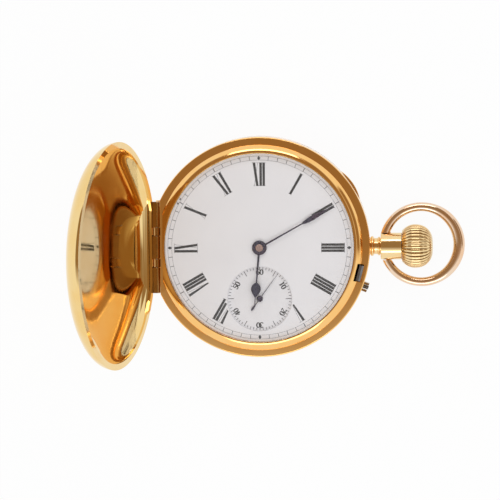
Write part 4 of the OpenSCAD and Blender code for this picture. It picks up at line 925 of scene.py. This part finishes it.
class WATCH_OT_back_cover(Operator):
    """Make the back cover with its thumb lip and hinge knuckles"""

    bl_idname = "watch.back_cover"
    bl_label = "Back cover"

    def execute(self, context):
        case = context.scene.watch_case
        cut_x = chord_x(case)
        outer = back_curve(case, CASE_R, RIM_Z, 0)
        body = keep_right_of(lathe([(0, 0)] + outer + [(0, RIM_Z)], case.sides), cut_x)
        top = RIM_Z - 0.4 * MM
        inner = [p for p in back_curve(case, CASE_R - case.sheet, RIM_Z - case.sheet, case.sheet)
                 if p[1] < top]
        rim = CASE_R - case.band_wall + 0.1 * MM
        hollow = keep_right_of(
            lathe([(0, case.sheet)] + inner + [(inner[-1][0] + 0.02 * MM, top), (rim, top),
                                               (rim, RIM_Z + MM), (0, RIM_Z + MM)],
                  case.sides), cut_x + case.chord_wall)
        half = CASE_R * math.sin(case.lip_span)
        rise = case.lip_out + CASE_R * (1 - math.cos(case.lip_span))
        big = (half * half + rise * rise) / (2 * rise)
        soft = 0.15 * MM
        lip_z = RIM_Z - 0.55 * MM
        lip = lathe([(0, lip_z)] + arc(big - soft, lip_z + soft, soft, -90, 0, 4)
                    + arc(big - soft, RIM_Z - soft, soft, 0, 90, 4) + [(0, RIM_Z)], 192)
        lip = moved(lip, turned(case.lip_angle)
                    @ Matrix.Translation((CASE_R + case.lip_out - big, 0, 0)))
        cover = cut_with(made("back_cover_sheet", body), [lip], "UNION")
        middle = case.knuckle_middle / 2
        room = block((cut_x - MM, -middle, RIM_Z - 0.75 * MM), (cut_x + MM, middle, RIM_Z + MM))
        cut_with(cover, [hollow, room])
        tubes = hinge_tubes(case, both_sides(knuckle_spans(case)["outer"]), RIM_Z,
                            [(0, case.tube + 0.3 * MM, -case.rim_height, 0)])
        knuckles = made("back_cover_knuckles", gathered(tubes))
        dress(cover, "back", FINISH["gold"], ["back_cover"])
        dress(knuckles, "back", FINISH["gold"])
        return {"FINISHED"}


class WATCH_OT_bezel_and_glass(Operator):
    """Make the bezel with its nail notch, and the domed glass"""

    bl_idname = "watch.bezel_and_glass"
    bl_label = "Bezel and glass"

    def execute(self, context):
        case = context.scene.watch_case
        opening = DIAL_R + 0.18 * MM
        soft = 0.14 * MM
        top_land = 0.2 * MM
        start, end = case.bezel_low, case.bezel_high
        round_r = (BEZEL_R - opening - top_land) / (math.cos(start) - math.cos(end))
        face = arc(BEZEL_R - round_r * math.cos(start),
                   BEZEL_Z - 0.01 * MM - round_r * math.sin(end), round_r,
                   math.degrees(start), math.degrees(end), 14)
        profile = ([(opening, LEDGE_Z), (BEZEL_R, LEDGE_Z)] + face
                   + arc(opening + soft, BEZEL_Z - soft - 0.02 * MM, soft, 80, 180, 6))
        ring = keep_right_of(lathe(profile, case.sides), BEZEL_CUT_X)
        bezel = made("bezel_ring", ring)
        notch_clock = math.radians(209.4)
        notch_half, notch_deep, notch_high = 0.72 * MM, 0.28 * MM, 0.75 * MM
        notch = moved(block((BEZEL_R - notch_deep, -notch_half, LEDGE_Z - MM),
                            (BEZEL_R + MM, notch_half, LEDGE_Z + notch_high)),
                      turned(math.pi / 2 - notch_clock))
        cut_with(bezel, [catch_slot(case, LEDGE_Z - MM, BEZEL_Z + MM), notch])
        dress(bezel, "case", FINISH["gold"], ["bezel"], crease=38)

        glass_r = opening - 0.02 * MM
        thick, soft = 0.7 * MM, 0.15 * MM
        rise = GLASS_Z1 - GLASS_Z0 - thick
        ball = (DIAL_R ** 2 + rise ** 2) / (2 * rise)

        def cap(q, lift):
            """Height of the glass at radius q, over its lower face by lift."""
            return GLASS_Z0 + lift + math.sqrt(ball ** 2 - q ** 2) - (ball - rise)

        steps = 40
        shares = [i / steps for i in range(steps + 1)]
        outside = [(glass_r * s, cap(glass_r * s, thick)) for s in shares]
        inside = [(glass_r * s, max(GLASS_Z0, cap(glass_r * s, 0))) for s in shares]
        glass = made("domed_glass", lathe(outside[:-1] + arc(
            glass_r - soft, outside[-1][1] - soft, soft, 80, 0, 4)
            + inside[::-1], case.sides))
        dress(glass, "case", FINISH["glass"], ["crystal"], crease=40)
        return {"FINISHED"}


# Pendant, crown and bow


class WATCH_OT_pendant(Operator):
    """Make the pendant: a beaded neck and the barrel that carries the bow and the crown"""

    bl_idname = "watch.pendant"
    bl_label = "Pendant"

    def execute(self, context):
        bow = context.scene.watch_bow
        neck = bow.neck
        bore = 0.95 * MM
        sleeve = 1.7 * MM
        neck_x = CASE_R + 0.2 * MM
        barrel_x = PENDANT_X1 - 4.8 * MM
        sleeve_x = barrel_x - 0.6 * MM
        soft = 0.16 * MM
        foot = neck + 0.15 * MM
        foot_bead = arc(neck_x + 0.3 * MM, neck + 0.1 * MM, 0.35 * MM, 170, 10, 10)
        barrel_bead = arc(barrel_x - 0.4 * MM, neck, 0.3 * MM, 180, 0, 10)
        outline = ([(PENDANT_X0, bore), (PENDANT_X0, foot), (neck_x - 0.1 * MM, foot)]
                   + foot_bead + [(neck_x + 0.8 * MM, neck), (barrel_x - 0.75 * MM, neck)]
                   + barrel_bead + [(barrel_x, neck)]
                   + arc(barrel_x + soft, PENDANT_R - soft, soft, 180, 90, 5)
                   + arc(PENDANT_X1 - soft, PENDANT_R - soft, soft, 90, 0, 5)
                   + [(PENDANT_X1, sleeve), (sleeve_x, sleeve), (sleeve_x, bore)])
        profile = [(y, x) for x, y in outline]
        barrel = made("pendant_barrel", lathe(profile, 128, place_x))
        pivot = moved(rod(0.6 * MM, -5 * MM, 5 * MM, 32),
                      Matrix.Translation((BOW_PIVOT_X, 0, STEM_Z)))
        cut_with(barrel, [pivot])
        dress(barrel, "case", FINISH["gold_pale"], ["pendant"])
        return {"FINISHED"}


class WATCH_OT_crown(Operator):
    """Make the fluted crown, which swells from its skirt and rounds over to its tip"""

    bl_idname = "watch.crown"
    bl_label = "Crown"

    def execute(self, context):
        bow = context.scene.watch_bow
        long = CROWN_X1 - CROWN_X0
        sides = bow.flutes * 14
        rings = 44
        skirt = PENDANT_R + 0.12 * MM
        deep = CROWN_X0 + 0.9 * MM
        start, tip, swell = 3.55 * MM, 1.1 * MM, 0.42

        def outside(u):
            """Radius over the flutes at a share u of the crown's length."""
            if u < swell:
                return CROWN_R - (CROWN_R - start) * ((swell - u) / swell) ** 2.2
            fall = max(0.0, 1 - ((u - swell) / (1 - swell)) ** 2.3)
            return tip + (CROWN_R - tip) * math.sqrt(fall)

        bm = bmesh.new()
        rows = [[bm.verts.new(place_x(0, deep, 0))]]
        for r, x in ((skirt, deep), (skirt, CROWN_X0)):
            rows.append([bm.verts.new(place_x(r, x, 2 * math.pi * k / sides))
                         for k in range(sides)])
        for i in range(rings + 1):
            u = 1 - (1 - i / rings) ** 1.6
            depth = bow.flute_depth * math.sin(math.pi * min(1, max(0, u - 0.02))) ** 0.6
            row = []
            for k in range(sides):
                a = 2 * math.pi * k / sides
                wave = 1 - abs(math.cos(a * bow.flutes / 2)) ** 0.7
                row.append(bm.verts.new(place_x(outside(u) - depth * wave,
                                                CROWN_X0 + u * long, a)))
            rows.append(row)
        rows.append([bm.verts.new(place_x(0, CROWN_X1, 0))])
        for row, other in zip(rows, rows[1:]):
            for k in range(sides):
                corners = [row[k % len(row)], row[(k + 1) % len(row)],
                           other[(k + 1) % len(other)], other[k % len(other)]]
                bm.faces.new(list(dict.fromkeys(corners)))
        bmesh.ops.recalc_face_normals(bm, faces=bm.faces)
        crown = made("fluted_crown", bm)
        dress(crown, "crown", FINISH["crown"], ["crown"], crease=44)
        return {"FINISHED"}


class WATCH_OT_bow(Operator):
    """Make the bow, whose wire swells towards its far end"""

    bl_idname = "watch.bow"
    bl_label = "Bow"

    def execute(self, context):
        bow = context.scene.watch_bow
        centre_x = high("bow").x - bow.radius - bow.wire_end
        end_y = PENDANT_R + bow.end_gap
        steps, sides = 144, 32
        bm = bmesh.new()
        rows = []
        for i in range(steps + 1):
            row = []
            for k in range(sides):
                b = 2 * math.pi * k / sides
                stop = math.pi - math.asin(end_y / (bow.radius + bow.wire * math.cos(b)))
                a = stop * (2 * i / steps - 1)
                w = bow.wire + (bow.wire_end - bow.wire) * max(0.0, math.cos(a)) ** 1.5
                q = bow.radius + w * math.cos(b)
                row.append(bm.verts.new((centre_x + q * math.cos(a), q * math.sin(a),
                                         STEM_Z + w * math.sin(b))))
            rows.append(row)
        for row, other in zip(rows, rows[1:]):
            for k in range(sides):
                n = (k + 1) % sides
                bm.faces.new((row[k], row[n], other[n], other[k]))
        bm.faces.new(rows[0])
        bm.faces.new(rows[-1][::-1])
        bmesh.ops.recalc_face_normals(bm, faces=bm.faces)
        pivot = Matrix.Translation((BOW_PIVOT_X, 0, 0))
        ring = made("bow_ring", moved(bm, pivot @ turned(bow.lean) @ pivot.inverted()))
        dress(ring, "bow", FINISH["gold_rose"], ["bow"])
        return {"FINISHED"}


# Dial and its printing


def clock(r, a):
    """A point at radius r and clock angle a, which runs clockwise from twelve."""
    return (r * math.sin(a), r * math.cos(a))


def on_dial(u, v, a, centre=(0.0, 0.0)):
    """A point at u across and v out along clock angle a, about a centre."""
    x, y = clock(v, a)
    return (centre[0] + x + u * math.cos(a), centre[1] + y - u * math.sin(a))


def bar(dial, u_in, u_out, w_in, w_out, a):
    """A numeral's stroke from its inner to its outer end, stopped at the seconds dial."""
    v_in, v_out = dial.numeral_in, dial.numeral_out
    clear = dial.small_radius + 0.3 * MM
    steps = 60
    start = 0.0
    for i in range(steps):
        t = i / steps
        x, y = on_dial(u_in + (u_out - u_in) * t, v_in + (v_out - v_in) * t, a)
        if math.hypot(x, y - SECONDS_Y) < clear:
            start = (i + 1) / steps
    v_start = v_in + (v_out - v_in) * start
    u_start = u_in + (u_out - u_in) * start
    w_start = w_in + (w_out - w_in) * start
    return [on_dial(u_start - w_start / 2, v_start, a), on_dial(u_start + w_start / 2, v_start, a),
            on_dial(u_out + w_out / 2, v_out, a), on_dial(u_out - w_out / 2, v_out, a)], start


def serif(dial, u, v, reach, a):
    """A thin line across the end of a stroke."""
    half = dial.hair * 0.4
    return [on_dial(u - reach, v - half, a), on_dial(u + reach, v - half, a),
            on_dial(u + reach, v + half, a), on_dial(u - reach, v + half, a)]


def numeral(dial, letters, a):
    """Outlines of one Roman numeral, drawn with its top outwards.

    Tapers, serifs and the legs' spread are shares of the thick stroke.
    """
    wide = {"I": dial.pitch, "V": 1.3 * MM, "X": 1.5 * MM}
    total = sum(wide[c] for c in letters)
    u = -total / 2
    outlines = []
    foot, top = dial.numeral_in + dial.hair / 2, dial.numeral_out - dial.hair / 2
    for letter in letters:
        mid = u + wide[letter] / 2
        if letter == "I":
            outline, start = bar(dial, mid, mid, dial.bar * 0.94, dial.bar, a)
            outlines.append(outline)
            outlines.append(serif(dial, mid, top, dial.bar * 0.85, a))
            if start == 0.0:
                outlines.append(serif(dial, mid, foot, dial.bar * 0.8, a))
        elif letter == "V":
            half = wide[letter] / 2 - dial.bar * 0.45
            point = mid - 0.03 * MM
            left, _ = bar(dial, point - 0.02 * MM, mid - half, dial.bar * 0.5, dial.bar, a)
            right, _ = bar(dial, point + 0.08 * MM, mid + half, dial.hair, dial.hair, a)
            outlines += [left, right, serif(dial, mid - half, top, dial.bar * 0.8, a),
                         serif(dial, mid + half, top, dial.bar * 0.55, a)]
        else:
            half = wide[letter] / 2 - dial.bar * 0.55
            thick, _ = bar(dial, mid + half * 0.8, mid - half, dial.bar * 0.94, dial.bar, a)
            thin, _ = bar(dial, mid - half * 0.8, mid + half, dial.hair, dial.hair, a)
            outlines += [thick, thin]
            for side, reach in ((-1, 0.8), (1, 0.55)):
                outlines.append(serif(dial, mid + side * half, top, dial.bar * reach, a))
                outlines.append(serif(dial, mid - side * half * 0.8, foot, dial.bar * reach, a))
        u += wide[letter]
    return outlines


def ribbon(points, widths):
    """Outline of a stroke that follows points, with a width at each."""
    left, right = [], []
    for i, (x, y) in enumerate(points):
        x0, y0 = points[max(0, i - 1)]
        x1, y1 = points[min(len(points) - 1, i + 1)]
        long = math.hypot(x1 - x0, y1 - y0)
        nx, ny = -(y1 - y0) / long, (x1 - x0) / long
        left.append((x + nx * widths[i] / 2, y + ny * widths[i] / 2))
        right.append((x - nx * widths[i] / 2, y - ny * widths[i] / 2))
    return left + right[::-1]


def curve(cx, cy, rx, ry, start, end, thin, thick, steps=16):
    """A curved stroke of a digit, thick at its sides and thin at top and bottom."""
    points, widths = [], []
    for i in range(steps + 1):
        t = math.radians(start + (end - start) * i / steps)
        points.append((cx + rx * math.cos(t), cy + ry * math.sin(t)))
        widths.append(thin + (thick - thin) * abs(math.cos(t)) ** 1.5)
    return ribbon(points, widths)


def straight(x0, y0, x1, y1, w0, w1=None):
    """A straight stroke of a digit."""
    return ribbon([(x0, y0), (x1, y1)], [w0, w0 if w1 is None else w1])


# Strokes of each digit, in shares of a digit's height
THIN, THICK = 0.12, 0.25
DIGITS = {
    "0": [curve(0, 0, 0.25, 0.45, 0, 180, THIN, THICK),
          curve(0, 0, 0.25, 0.45, 180, 360, THIN, THICK)],
    "1": [straight(0.03, -0.48, 0.03, 0.48, THICK), straight(-0.16, 0.28, 0.0, 0.46, THIN),
          straight(-0.14, -0.46, 0.2, -0.46, THIN)],
    "2": [curve(0, 0.22, 0.22, 0.24, 165, -20, THIN, THICK),
          straight(0.2, 0.14, -0.24, -0.44, 0.12, THIN), straight(-0.25, -0.42, 0.27, -0.42, 0.14)],
    "3": [curve(0, 0.23, 0.2, 0.22, 160, -90, THIN, THICK),
          curve(0, -0.21, 0.24, 0.25, 90, -160, THIN, THICK)],
    "4": [straight(0.1, -0.48, 0.1, 0.48, THICK), straight(0.06, 0.46, -0.28, -0.16, THIN),
          straight(-0.3, -0.18, 0.28, -0.18, THIN)],
    "5": [straight(-0.2, 0.43, 0.2, 0.45, 0.13), straight(-0.19, 0.45, -0.19, 0.02, THIN),
          curve(-0.02, -0.17, 0.24, 0.27, 140, -155, THIN, THICK)],
    "6": [curve(0, -0.18, 0.23, 0.27, 0, 360, THIN, THICK),
          curve(0.12, -0.05, 0.36, 0.52, 180, 80, THIN, THICK)],
}


def stood(outline, z, thick):
    """A printed outline as a very thin solid on its dial."""
    area = sum(x0 * y1 - x1 * y0 for (x0, y0), (x1, y1) in
               zip(outline, outline[1:] + outline[:1]))
    return prism(outline if area > 0 else outline[::-1], z, z + thick)


def ring_print(r, width, z, thick):
    """A thin printed circle."""
    half = width / 2
    return lathe([(r - half, z), (r + half, z), (r + half, z + thick), (r - half, z + thick)], 360)


def tick_print(r_in, r_out, half, a, z, thick, centre=(0.0, 0.0)):
    """A printed tick along clock angle a, about a centre."""
    return stood([on_dial(-half, r_in, a, centre), on_dial(half, r_in, a, centre),
                  on_dial(half, r_out, a, centre), on_dial(-half, r_out, a, centre)], z, thick)


NUMERALS = {1: "I", 2: "II", 3: "III", 4: "IIII", 5: "V", 7: "VII", 8: "VIII", 9: "IX",
            10: "X", 11: "XI", 12: "XII"}
# Two small dark chips at the dial's edge: clock angle in degrees, and depth in mm
CHIPS = ((298.8, 0.3), (301.9, 0.24))
PRINT_GAP = 0.002 * MM


class WATCH_OT_dials(Operator):
    """Make the enamel dial with its sunk seconds dial"""

    bl_idname = "watch.dials"
    bl_label = "Dials"

    def execute(self, context):
        dial = context.scene.watch_dial
        under, over = DIAL_Z0 - MM, DIAL_Z1 + MM
        centre_r = 1.35 * MM
        to_seconds = Matrix.Translation((0, SECONDS_Y, 0))
        plate = made("enamel_dial", disc(DIAL_R, DIAL_Z0, DIAL_Z1, 256))
        cut_with(plate, [disc(centre_r, under, over, 64),
                         moved(disc(dial.small_radius, under, over, 160), to_seconds)])
        ease_edges(plate, 0.14 * MM, 3)
        dress(plate, "case", FINISH["enamel"], ["dial"], flat_area=4e-6)
        hole, lap, soft = 0.45 * MM, 0.45 * MM, 0.05 * MM
        r = dial.small_radius + lap
        z0 = low("seconds_dial").z
        round_dial = lathe([(hole, z0), (r, z0), (r, SMALL_DIAL_Z), (hole + soft, SMALL_DIAL_Z),
                            (hole, SMALL_DIAL_Z - soft)], 160)
        small = made("small_enamel_dial", moved(round_dial, to_seconds))
        dress(small, "case", FINISH["small_enamel"], ["seconds_dial"])
        return {"FINISHED"}


class WATCH_OT_printing(Operator):
    """Print the hours, the minute track and the seconds track on the dials"""

    bl_idname = "watch.printing"
    bl_label = "Printing"

    def execute(self, context):
        dial = context.scene.watch_dial
        z, thick = DIAL_Z1 + PRINT_GAP, dial.ink
        black = []
        for hour, letters in NUMERALS.items():
            for outline in numeral(dial, letters, math.radians(30 * hour)):
                black.append(stood(outline, z, thick))
        mid = (dial.track_in + dial.track_out) / 2
        long, wide = 0.52 * MM, 0.36 * MM
        for quarter in range(4):
            a = math.pi / 2 * quarter
            black.append(stood([on_dial(0, mid - long, a), on_dial(wide, mid, a),
                                on_dial(0, mid + long, a), on_dial(-wide, mid, a)],
                               z + thick, thick))
        hours = made("printed_hours", gathered(black))
        dress(hours, "case", FINISH["ink"], crease=20)

        fine = [ring_print(r, dial.line, z, thick) for r in (dial.track_in, dial.track_out)]
        for minute in range(60):
            half = dial.tick * (1.4 if minute % 5 == 0 else 1.0) / 2
            fine.append(tick_print(dial.track_in, dial.track_out, half,
                                   math.radians(6 * minute), z, thick * 0.9))
        for a, reach in CHIPS:
            turn = math.radians(a)
            fine.append(stood([on_dial(-0.28 * MM, DIAL_R - 0.18 * MM, turn),
                               on_dial(0.25 * MM, DIAL_R - 0.12 * MM, turn),
                               on_dial(0.1 * MM, DIAL_R - (0.18 + reach) * MM, turn),
                               on_dial(-0.12 * MM, DIAL_R - (0.2 + reach) * MM, turn)],
                              z, thick))
        track = made("printed_minute_track", gathered(fine))
        dress(track, "case", FINISH["grey_ink"], crease=20)

        centre = (0.0, SECONDS_Y)
        z = SMALL_DIAL_Z + PRINT_GAP
        edge = dial.small_radius - 0.2 * MM
        small = []
        for second in range(60):
            half, reach = 0.06 * MM, 0.55 * MM
            if second % 5 == 0:
                half = 0.075 * MM
                reach = 1.3 * MM if second % 10 == 5 else 0.75 * MM
            small.append(tick_print(edge - reach, edge, half, math.radians(6 * second),
                                    z, thick * 0.9, centre))
        seconds = made("printed_seconds_track", gathered(small))
        dress(seconds, "case", FINISH["grey_ink"], crease=20)

        digits = []
        pitch, digit_r = 0.66, edge - 1.15 * MM
        for count in (60, 10, 20, 30, 40, 50):
            a = math.radians(6 * count)
            for place, letter in enumerate(str(count)):
                across = (place - 0.5) * pitch * dial.digit
                for stroke in DIGITS[letter]:
                    outline = [on_dial(across + x * dial.digit, digit_r + y * dial.digit,
                                       a, centre) for x, y in stroke]
                    digits.append(stood(outline, z, thick))
        numbers = made("printed_seconds_numbers", gathered(digits))
        dress(numbers, "case", FINISH["ink"], crease=20)
        return {"FINISHED"}


# Hands


def pear(u):
    """Share of a hand's pear width at a share u of its length."""
    return math.sin(math.pi * u ** 0.8) ** 0.9


def hand_outline(long, stem, pear_from_tip, wide, tip):
    """Outline of a hand along +X: stem, pear and point; all widths are halves."""
    steps = 40
    pear0, pear1 = long - pear_from_tip[0], long - pear_from_tip[1]
    side = [(0, stem[0]), (pear0, stem[1])]
    for i in range(1, steps):
        u = i / steps
        side.append((pear0 + (pear1 - pear0) * u, stem[1] + (tip - stem[1]) * u + wide * pear(u)))
    side += [(pear1, tip), (long, 0.035 * MM)]
    return side + [(x, -y) for x, y in side[::-1]]


def set_at(bm, a, centre_y=0.0):
    """A hand drawn along +X, turned to its clock angle."""
    return moved(bm, Matrix.Translation((0, centre_y, 0)) @ turned(math.pi / 2 - a))


def pear_hand(name, stands_for, a, hole, outline):
    """A flat hand for one of the frame's hands, at its clock angle, with a hole at the middle."""
    z0, z1 = low(stands_for).z, high(stands_for).z
    blade = made(name, set_at(prism(outline, z0, z1), a))
    cut_with(blade, [disc(hole, z0 - MM, z1 + MM, 48)])
    ease_edges(blade, 0.045 * MM)
    return blade, z0, z1


def boss(r_in, r_out, z0, z1):
    """A domed boss with a hole, whose side is rounded over most of its height."""
    across, up = 0.7, 0.8
    round_r = (z1 - z0) * across
    side = [(r, z0 + (z - z0) / across * up) for r, z in arc(r_out - round_r, z0, round_r, 0, 90, 6)]
    return lathe([(r_in, z0)] + side + [(r_in + 0.1 * MM, z1), (r_in, z1 - 0.03 * MM)], 96)


class WATCH_OT_hands(Operator):
    """Make the hour, minute and seconds hands with their bosses"""

    bl_idname = "watch.hands"
    bl_label = "Hands"

    def execute(self, context):
        hands = context.scene.watch_hands
        outline = hand_outline(hands.hour_length, stem=(0.24 * MM, 0.16 * MM), wide=0.97 * MM,
                               pear_from_tip=(5.6 * MM, 2.3 * MM), tip=0.12 * MM)
        blade, z0, z1 = pear_hand("pear_hour_hand", "hour_hand", hands.hour, 1.3 * MM, outline)
        hub = made("hour_boss", boss(0.96 * MM, hands.boss, z0, z1 + 0.04 * MM))
        dress(blade, "hour", FINISH["blued"], ["hour_hand"], flat_area=0.4e-6)
        dress(hub, "hour", FINISH["blued"])

        outline = hand_outline(hands.minute_length, stem=(0.22 * MM, 0.14 * MM), wide=0.42 * MM,
                               pear_from_tip=(8.3 * MM, 1.9 * MM), tip=0.1 * MM)
        blade, z0, z1 = pear_hand("pear_minute_hand", "minute_hand", hands.minute, 1.2 * MM,
                                  outline)
        hub = made("minute_boss", boss(0.9 * MM, hands.boss * 0.95, z0, z1 + 0.12 * MM))
        dress(blade, "minute", FINISH["blued"], ["minute_hand"], flat_area=0.4e-6)
        dress(hub, "minute", FINISH["blued"])
        top = z1 + 0.16 * MM
        cap = made("boss_cap", lathe([(0, z0), (0.89 * MM, z0), (0.89 * MM, top - 0.1 * MM),
                                      (0.8 * MM, top - 0.03 * MM), (0.5 * MM, top - 0.005 * MM),
                                      (0, top)], 64))
        dress(cap, "minute", FINISH["boss"])

        z0 = low("seconds_hand").z
        z1 = z0 + 0.12 * MM
        long, tail = hands.second_length, hands.second_tail
        side = [(-tail, 0.04 * MM), (-tail + 0.25 * MM, 0.2 * MM), (-tail + 0.7 * MM, 0.27 * MM),
                (-tail + 1.3 * MM, 0.2 * MM), (-tail + 1.9 * MM, 0.08 * MM), (0, 0.08 * MM),
                (long * 0.6, 0.06 * MM), (long, 0.025 * MM)]
        blade = prism(side + [(x, -y) for x, y in side[::-1]], z0, z1)
        blade = made("fine_seconds_hand", set_at(blade, hands.second, SECONDS_Y))
        ease_edges(blade, 0.02 * MM)
        hub = lathe([(0, z0)] + arc(0.52 * MM, z0 + 0.02 * MM, 0.2 * MM, 0, 90, 5)
                    + [(0.3 * MM, z0 + 0.24 * MM), (0, z0 + 0.26 * MM)], 64)
        hub = made("seconds_boss", moved(hub, Matrix.Translation((0, SECONDS_Y, 0))))
        dress(blade, "fourth", FINISH["blued"], ["seconds_hand"])
        dress(hub, "fourth", FINISH["blued"])
        return {"FINISHED"}


# Stage


def plain_sheet(name, corners, material):
    """A flat sheet of the stage."""
    bm = bmesh.new()
    bm.faces.new([bm.verts.new(c) for c in corners])
    obj = made(name, bm)
    obj.data.materials.append(material)
    return obj


def floor_finish():
    """Pale floor: white to the camera, to metal and to glass, with the object's shadow."""
    material, tree = empty_material("Pale floor")
    soft = node(tree, "ShaderNodeBsdfDiffuse", {"Color": (0.9, 0.9, 0.9, 1)})
    glow = node(tree, "ShaderNodeEmission", {"Color": (1, 1, 1, 1), "Strength": 1.0})
    share = math_of(tree, "MULTIPLY", seen_plainly(tree), 0.93)
    end_with(tree, blended(tree, share, soft, glow))
    return material


def card_finish(tone, across, along):
    """Warm card that the gold shows: its edges fade out along two axes."""
    material, tree = empty_material("Warm card")
    where = tree.nodes.new("ShaderNodeTexCoord").outputs["Generated"]
    split = node(tree, "ShaderNodeSeparateXYZ", {0: where}).outputs
    fades = []
    for axis, width in ((across, 0.1), (along, 0.2)):
        near = between(tree, split[axis], 0.0, width)
        far = between(tree, split[axis], 1.0, 1.0 - width)
        fades.append(math_of(tree, "MULTIPLY", near, far))
    share = math_of(tree, "MULTIPLY", fades[0], fades[1])
    glow = node(tree, "ShaderNodeEmission", {"Color": rgba(tone), "Strength": 1.0})
    clear = tree.nodes.new("ShaderNodeBsdfTransparent")
    end_with(tree, blended(tree, share, clear, glow))
    return material


def card(name, corners, material):
    """A card that only metal shows."""
    obj = plain_sheet(name, corners, material)
    obj.visible_camera = False
    obj.visible_diffuse = False
    obj.visible_shadow = False
    obj.visible_transmission = False


def lamp(name, place, size, power):
    """A soft lamp aimed at the dial."""
    light = bpy.data.lights.new(name, "AREA")
    light.shape = "RECTANGLE"
    light.size, light.size_y = size
    light.energy = power
    obj = bpy.data.objects.new(name, light)
    obj.location = place
    obj.rotation_euler = (-Vector(place)).to_track_quat("-Z", "Y").to_euler()
    bpy.context.scene.collection.objects.link(obj)
    return obj


class WATCH_OT_stage(Operator):
    """Set the pale floor, the room, the lamps and the camera"""

    bl_idname = "watch.stage"
    bl_label = "Stage"

    def execute(self, context):
        scene = context.scene
        stage = scene.watch_stage
        world = bpy.data.worlds.new("Room")
        scene.world = world
        world.use_nodes = True
        tree = world.node_tree
        tree.nodes.clear()
        strength = between(tree, seen_plainly(tree), 0.0, 1.0, stage.world, 1.0)
        light = node(tree, "ShaderNodeBackground", {"Color": (1, 1, 1, 1), "Strength": strength})
        end_with(tree, light, "ShaderNodeOutputWorld")

        wide, z = 1.5, CAD_BOX[0].z - 0.2 * MM
        plain_sheet("floor", [(-wide, -wide, z), (wide, -wide, z), (wide, wide, z),
                              (-wide, wide, z)], floor_finish())
        side_x, over_z = 0.62, 0.5
        card("warm_card", [(-0.9, -0.3, over_z), (side_x, -0.3, over_z), (side_x, 1.0, over_z),
                           (-0.9, 1.0, over_z)], card_finish(stage.card, 0, 1))
        card("side_card", [(side_x, -0.12, 0.06), (side_x, 0.46, 0.06), (side_x, 0.46, 0.56),
                           (side_x, -0.12, 0.56)], card_finish(stage.card, 1, 2))
        lamp("key_lamp", (0.0, 0.62, 0.42), (0.5, 0.16), stage.key)
        lamp("fill_lamp", (0.05, -0.5, 0.5), (0.5, 0.2), stage.fill)

        aim = Vector((stage.aim_x, stage.aim_y, LEDGE_Z))
        way = Vector((math.tan(stage.tilt_right), math.tan(stage.tilt_up), 1.0)).normalized()
        eye = bpy.data.cameras.new("camera")
        eye.lens = stage.lens
        eye.sensor_width = 36.0
        eye.clip_start = 0.01
        camera = bpy.data.objects.new("camera", eye)
        camera.location = aim + way * stage.distance
        right = Vector((0, 1, 0)).cross(way).normalized()
        facing = Matrix((right, way.cross(right), way)).transposed().to_4x4()
        camera.rotation_euler = (facing @ Matrix.Rotation(stage.roll, 4, "Z")).to_euler()
        scene.collection.objects.link(camera)
        scene.camera = camera
        scene.view_settings.view_transform = "Standard"
        return {"FINISHED"}


# Sidebar and start

STEPS = ("finishes", "case_band", "front_cover", "back_cover", "bezel_and_glass", "pendant",
         "crown", "bow", "dials", "printing", "hands", "stage")
SETTINGS = {"watch_case": WatchCaseSettings, "watch_bow": WatchBowSettings,
            "watch_dial": WatchDialSettings, "watch_hands": WatchHandSettings,
            "watch_finish": WatchFinishSettings, "watch_stage": WatchStageSettings}


class WATCH_PT_sidebar(Panel):
    """Lists the watch's pieces and settings"""

    bl_idname = "WATCH_PT_sidebar"
    bl_label = "Hunter Pocket Watch"
    bl_space_type = "VIEW_3D"
    bl_region_type = "UI"
    bl_category = "Watch"

    def draw(self, context):
        column = self.layout.column(align=True)
        for step in STEPS:
            column.operator(f"watch.{step}")
        for key, group in SETTINGS.items():
            box = self.layout.box()
            box.label(text=group.__doc__.rstrip("."))
            for prop in group.__annotations__:
                box.prop(getattr(context.scene, key), prop)


CLASSES = tuple(SETTINGS.values()) + (
    WATCH_OT_finishes, WATCH_OT_case_band, WATCH_OT_front_cover, WATCH_OT_back_cover,
    WATCH_OT_bezel_and_glass, WATCH_OT_pendant, WATCH_OT_crown, WATCH_OT_bow, WATCH_OT_dials,
    WATCH_OT_printing, WATCH_OT_hands, WATCH_OT_stage, WATCH_PT_sidebar)


def register():
    for cls in CLASSES:
        bpy.utils.register_class(cls)
    for key, group in SETTINGS.items():
        setattr(bpy.types.Scene, key, PointerProperty(type=group))


def unregister():
    for key in SETTINGS:
        delattr(bpy.types.Scene, key)
    for cls in reversed(CLASSES):
        bpy.utils.unregister_class(cls)


def main():
    """Registers the add-on and makes every piece."""
    register()
    for step in STEPS:
        getattr(bpy.ops.watch, step)()


if __name__ == "__main__":
    main()
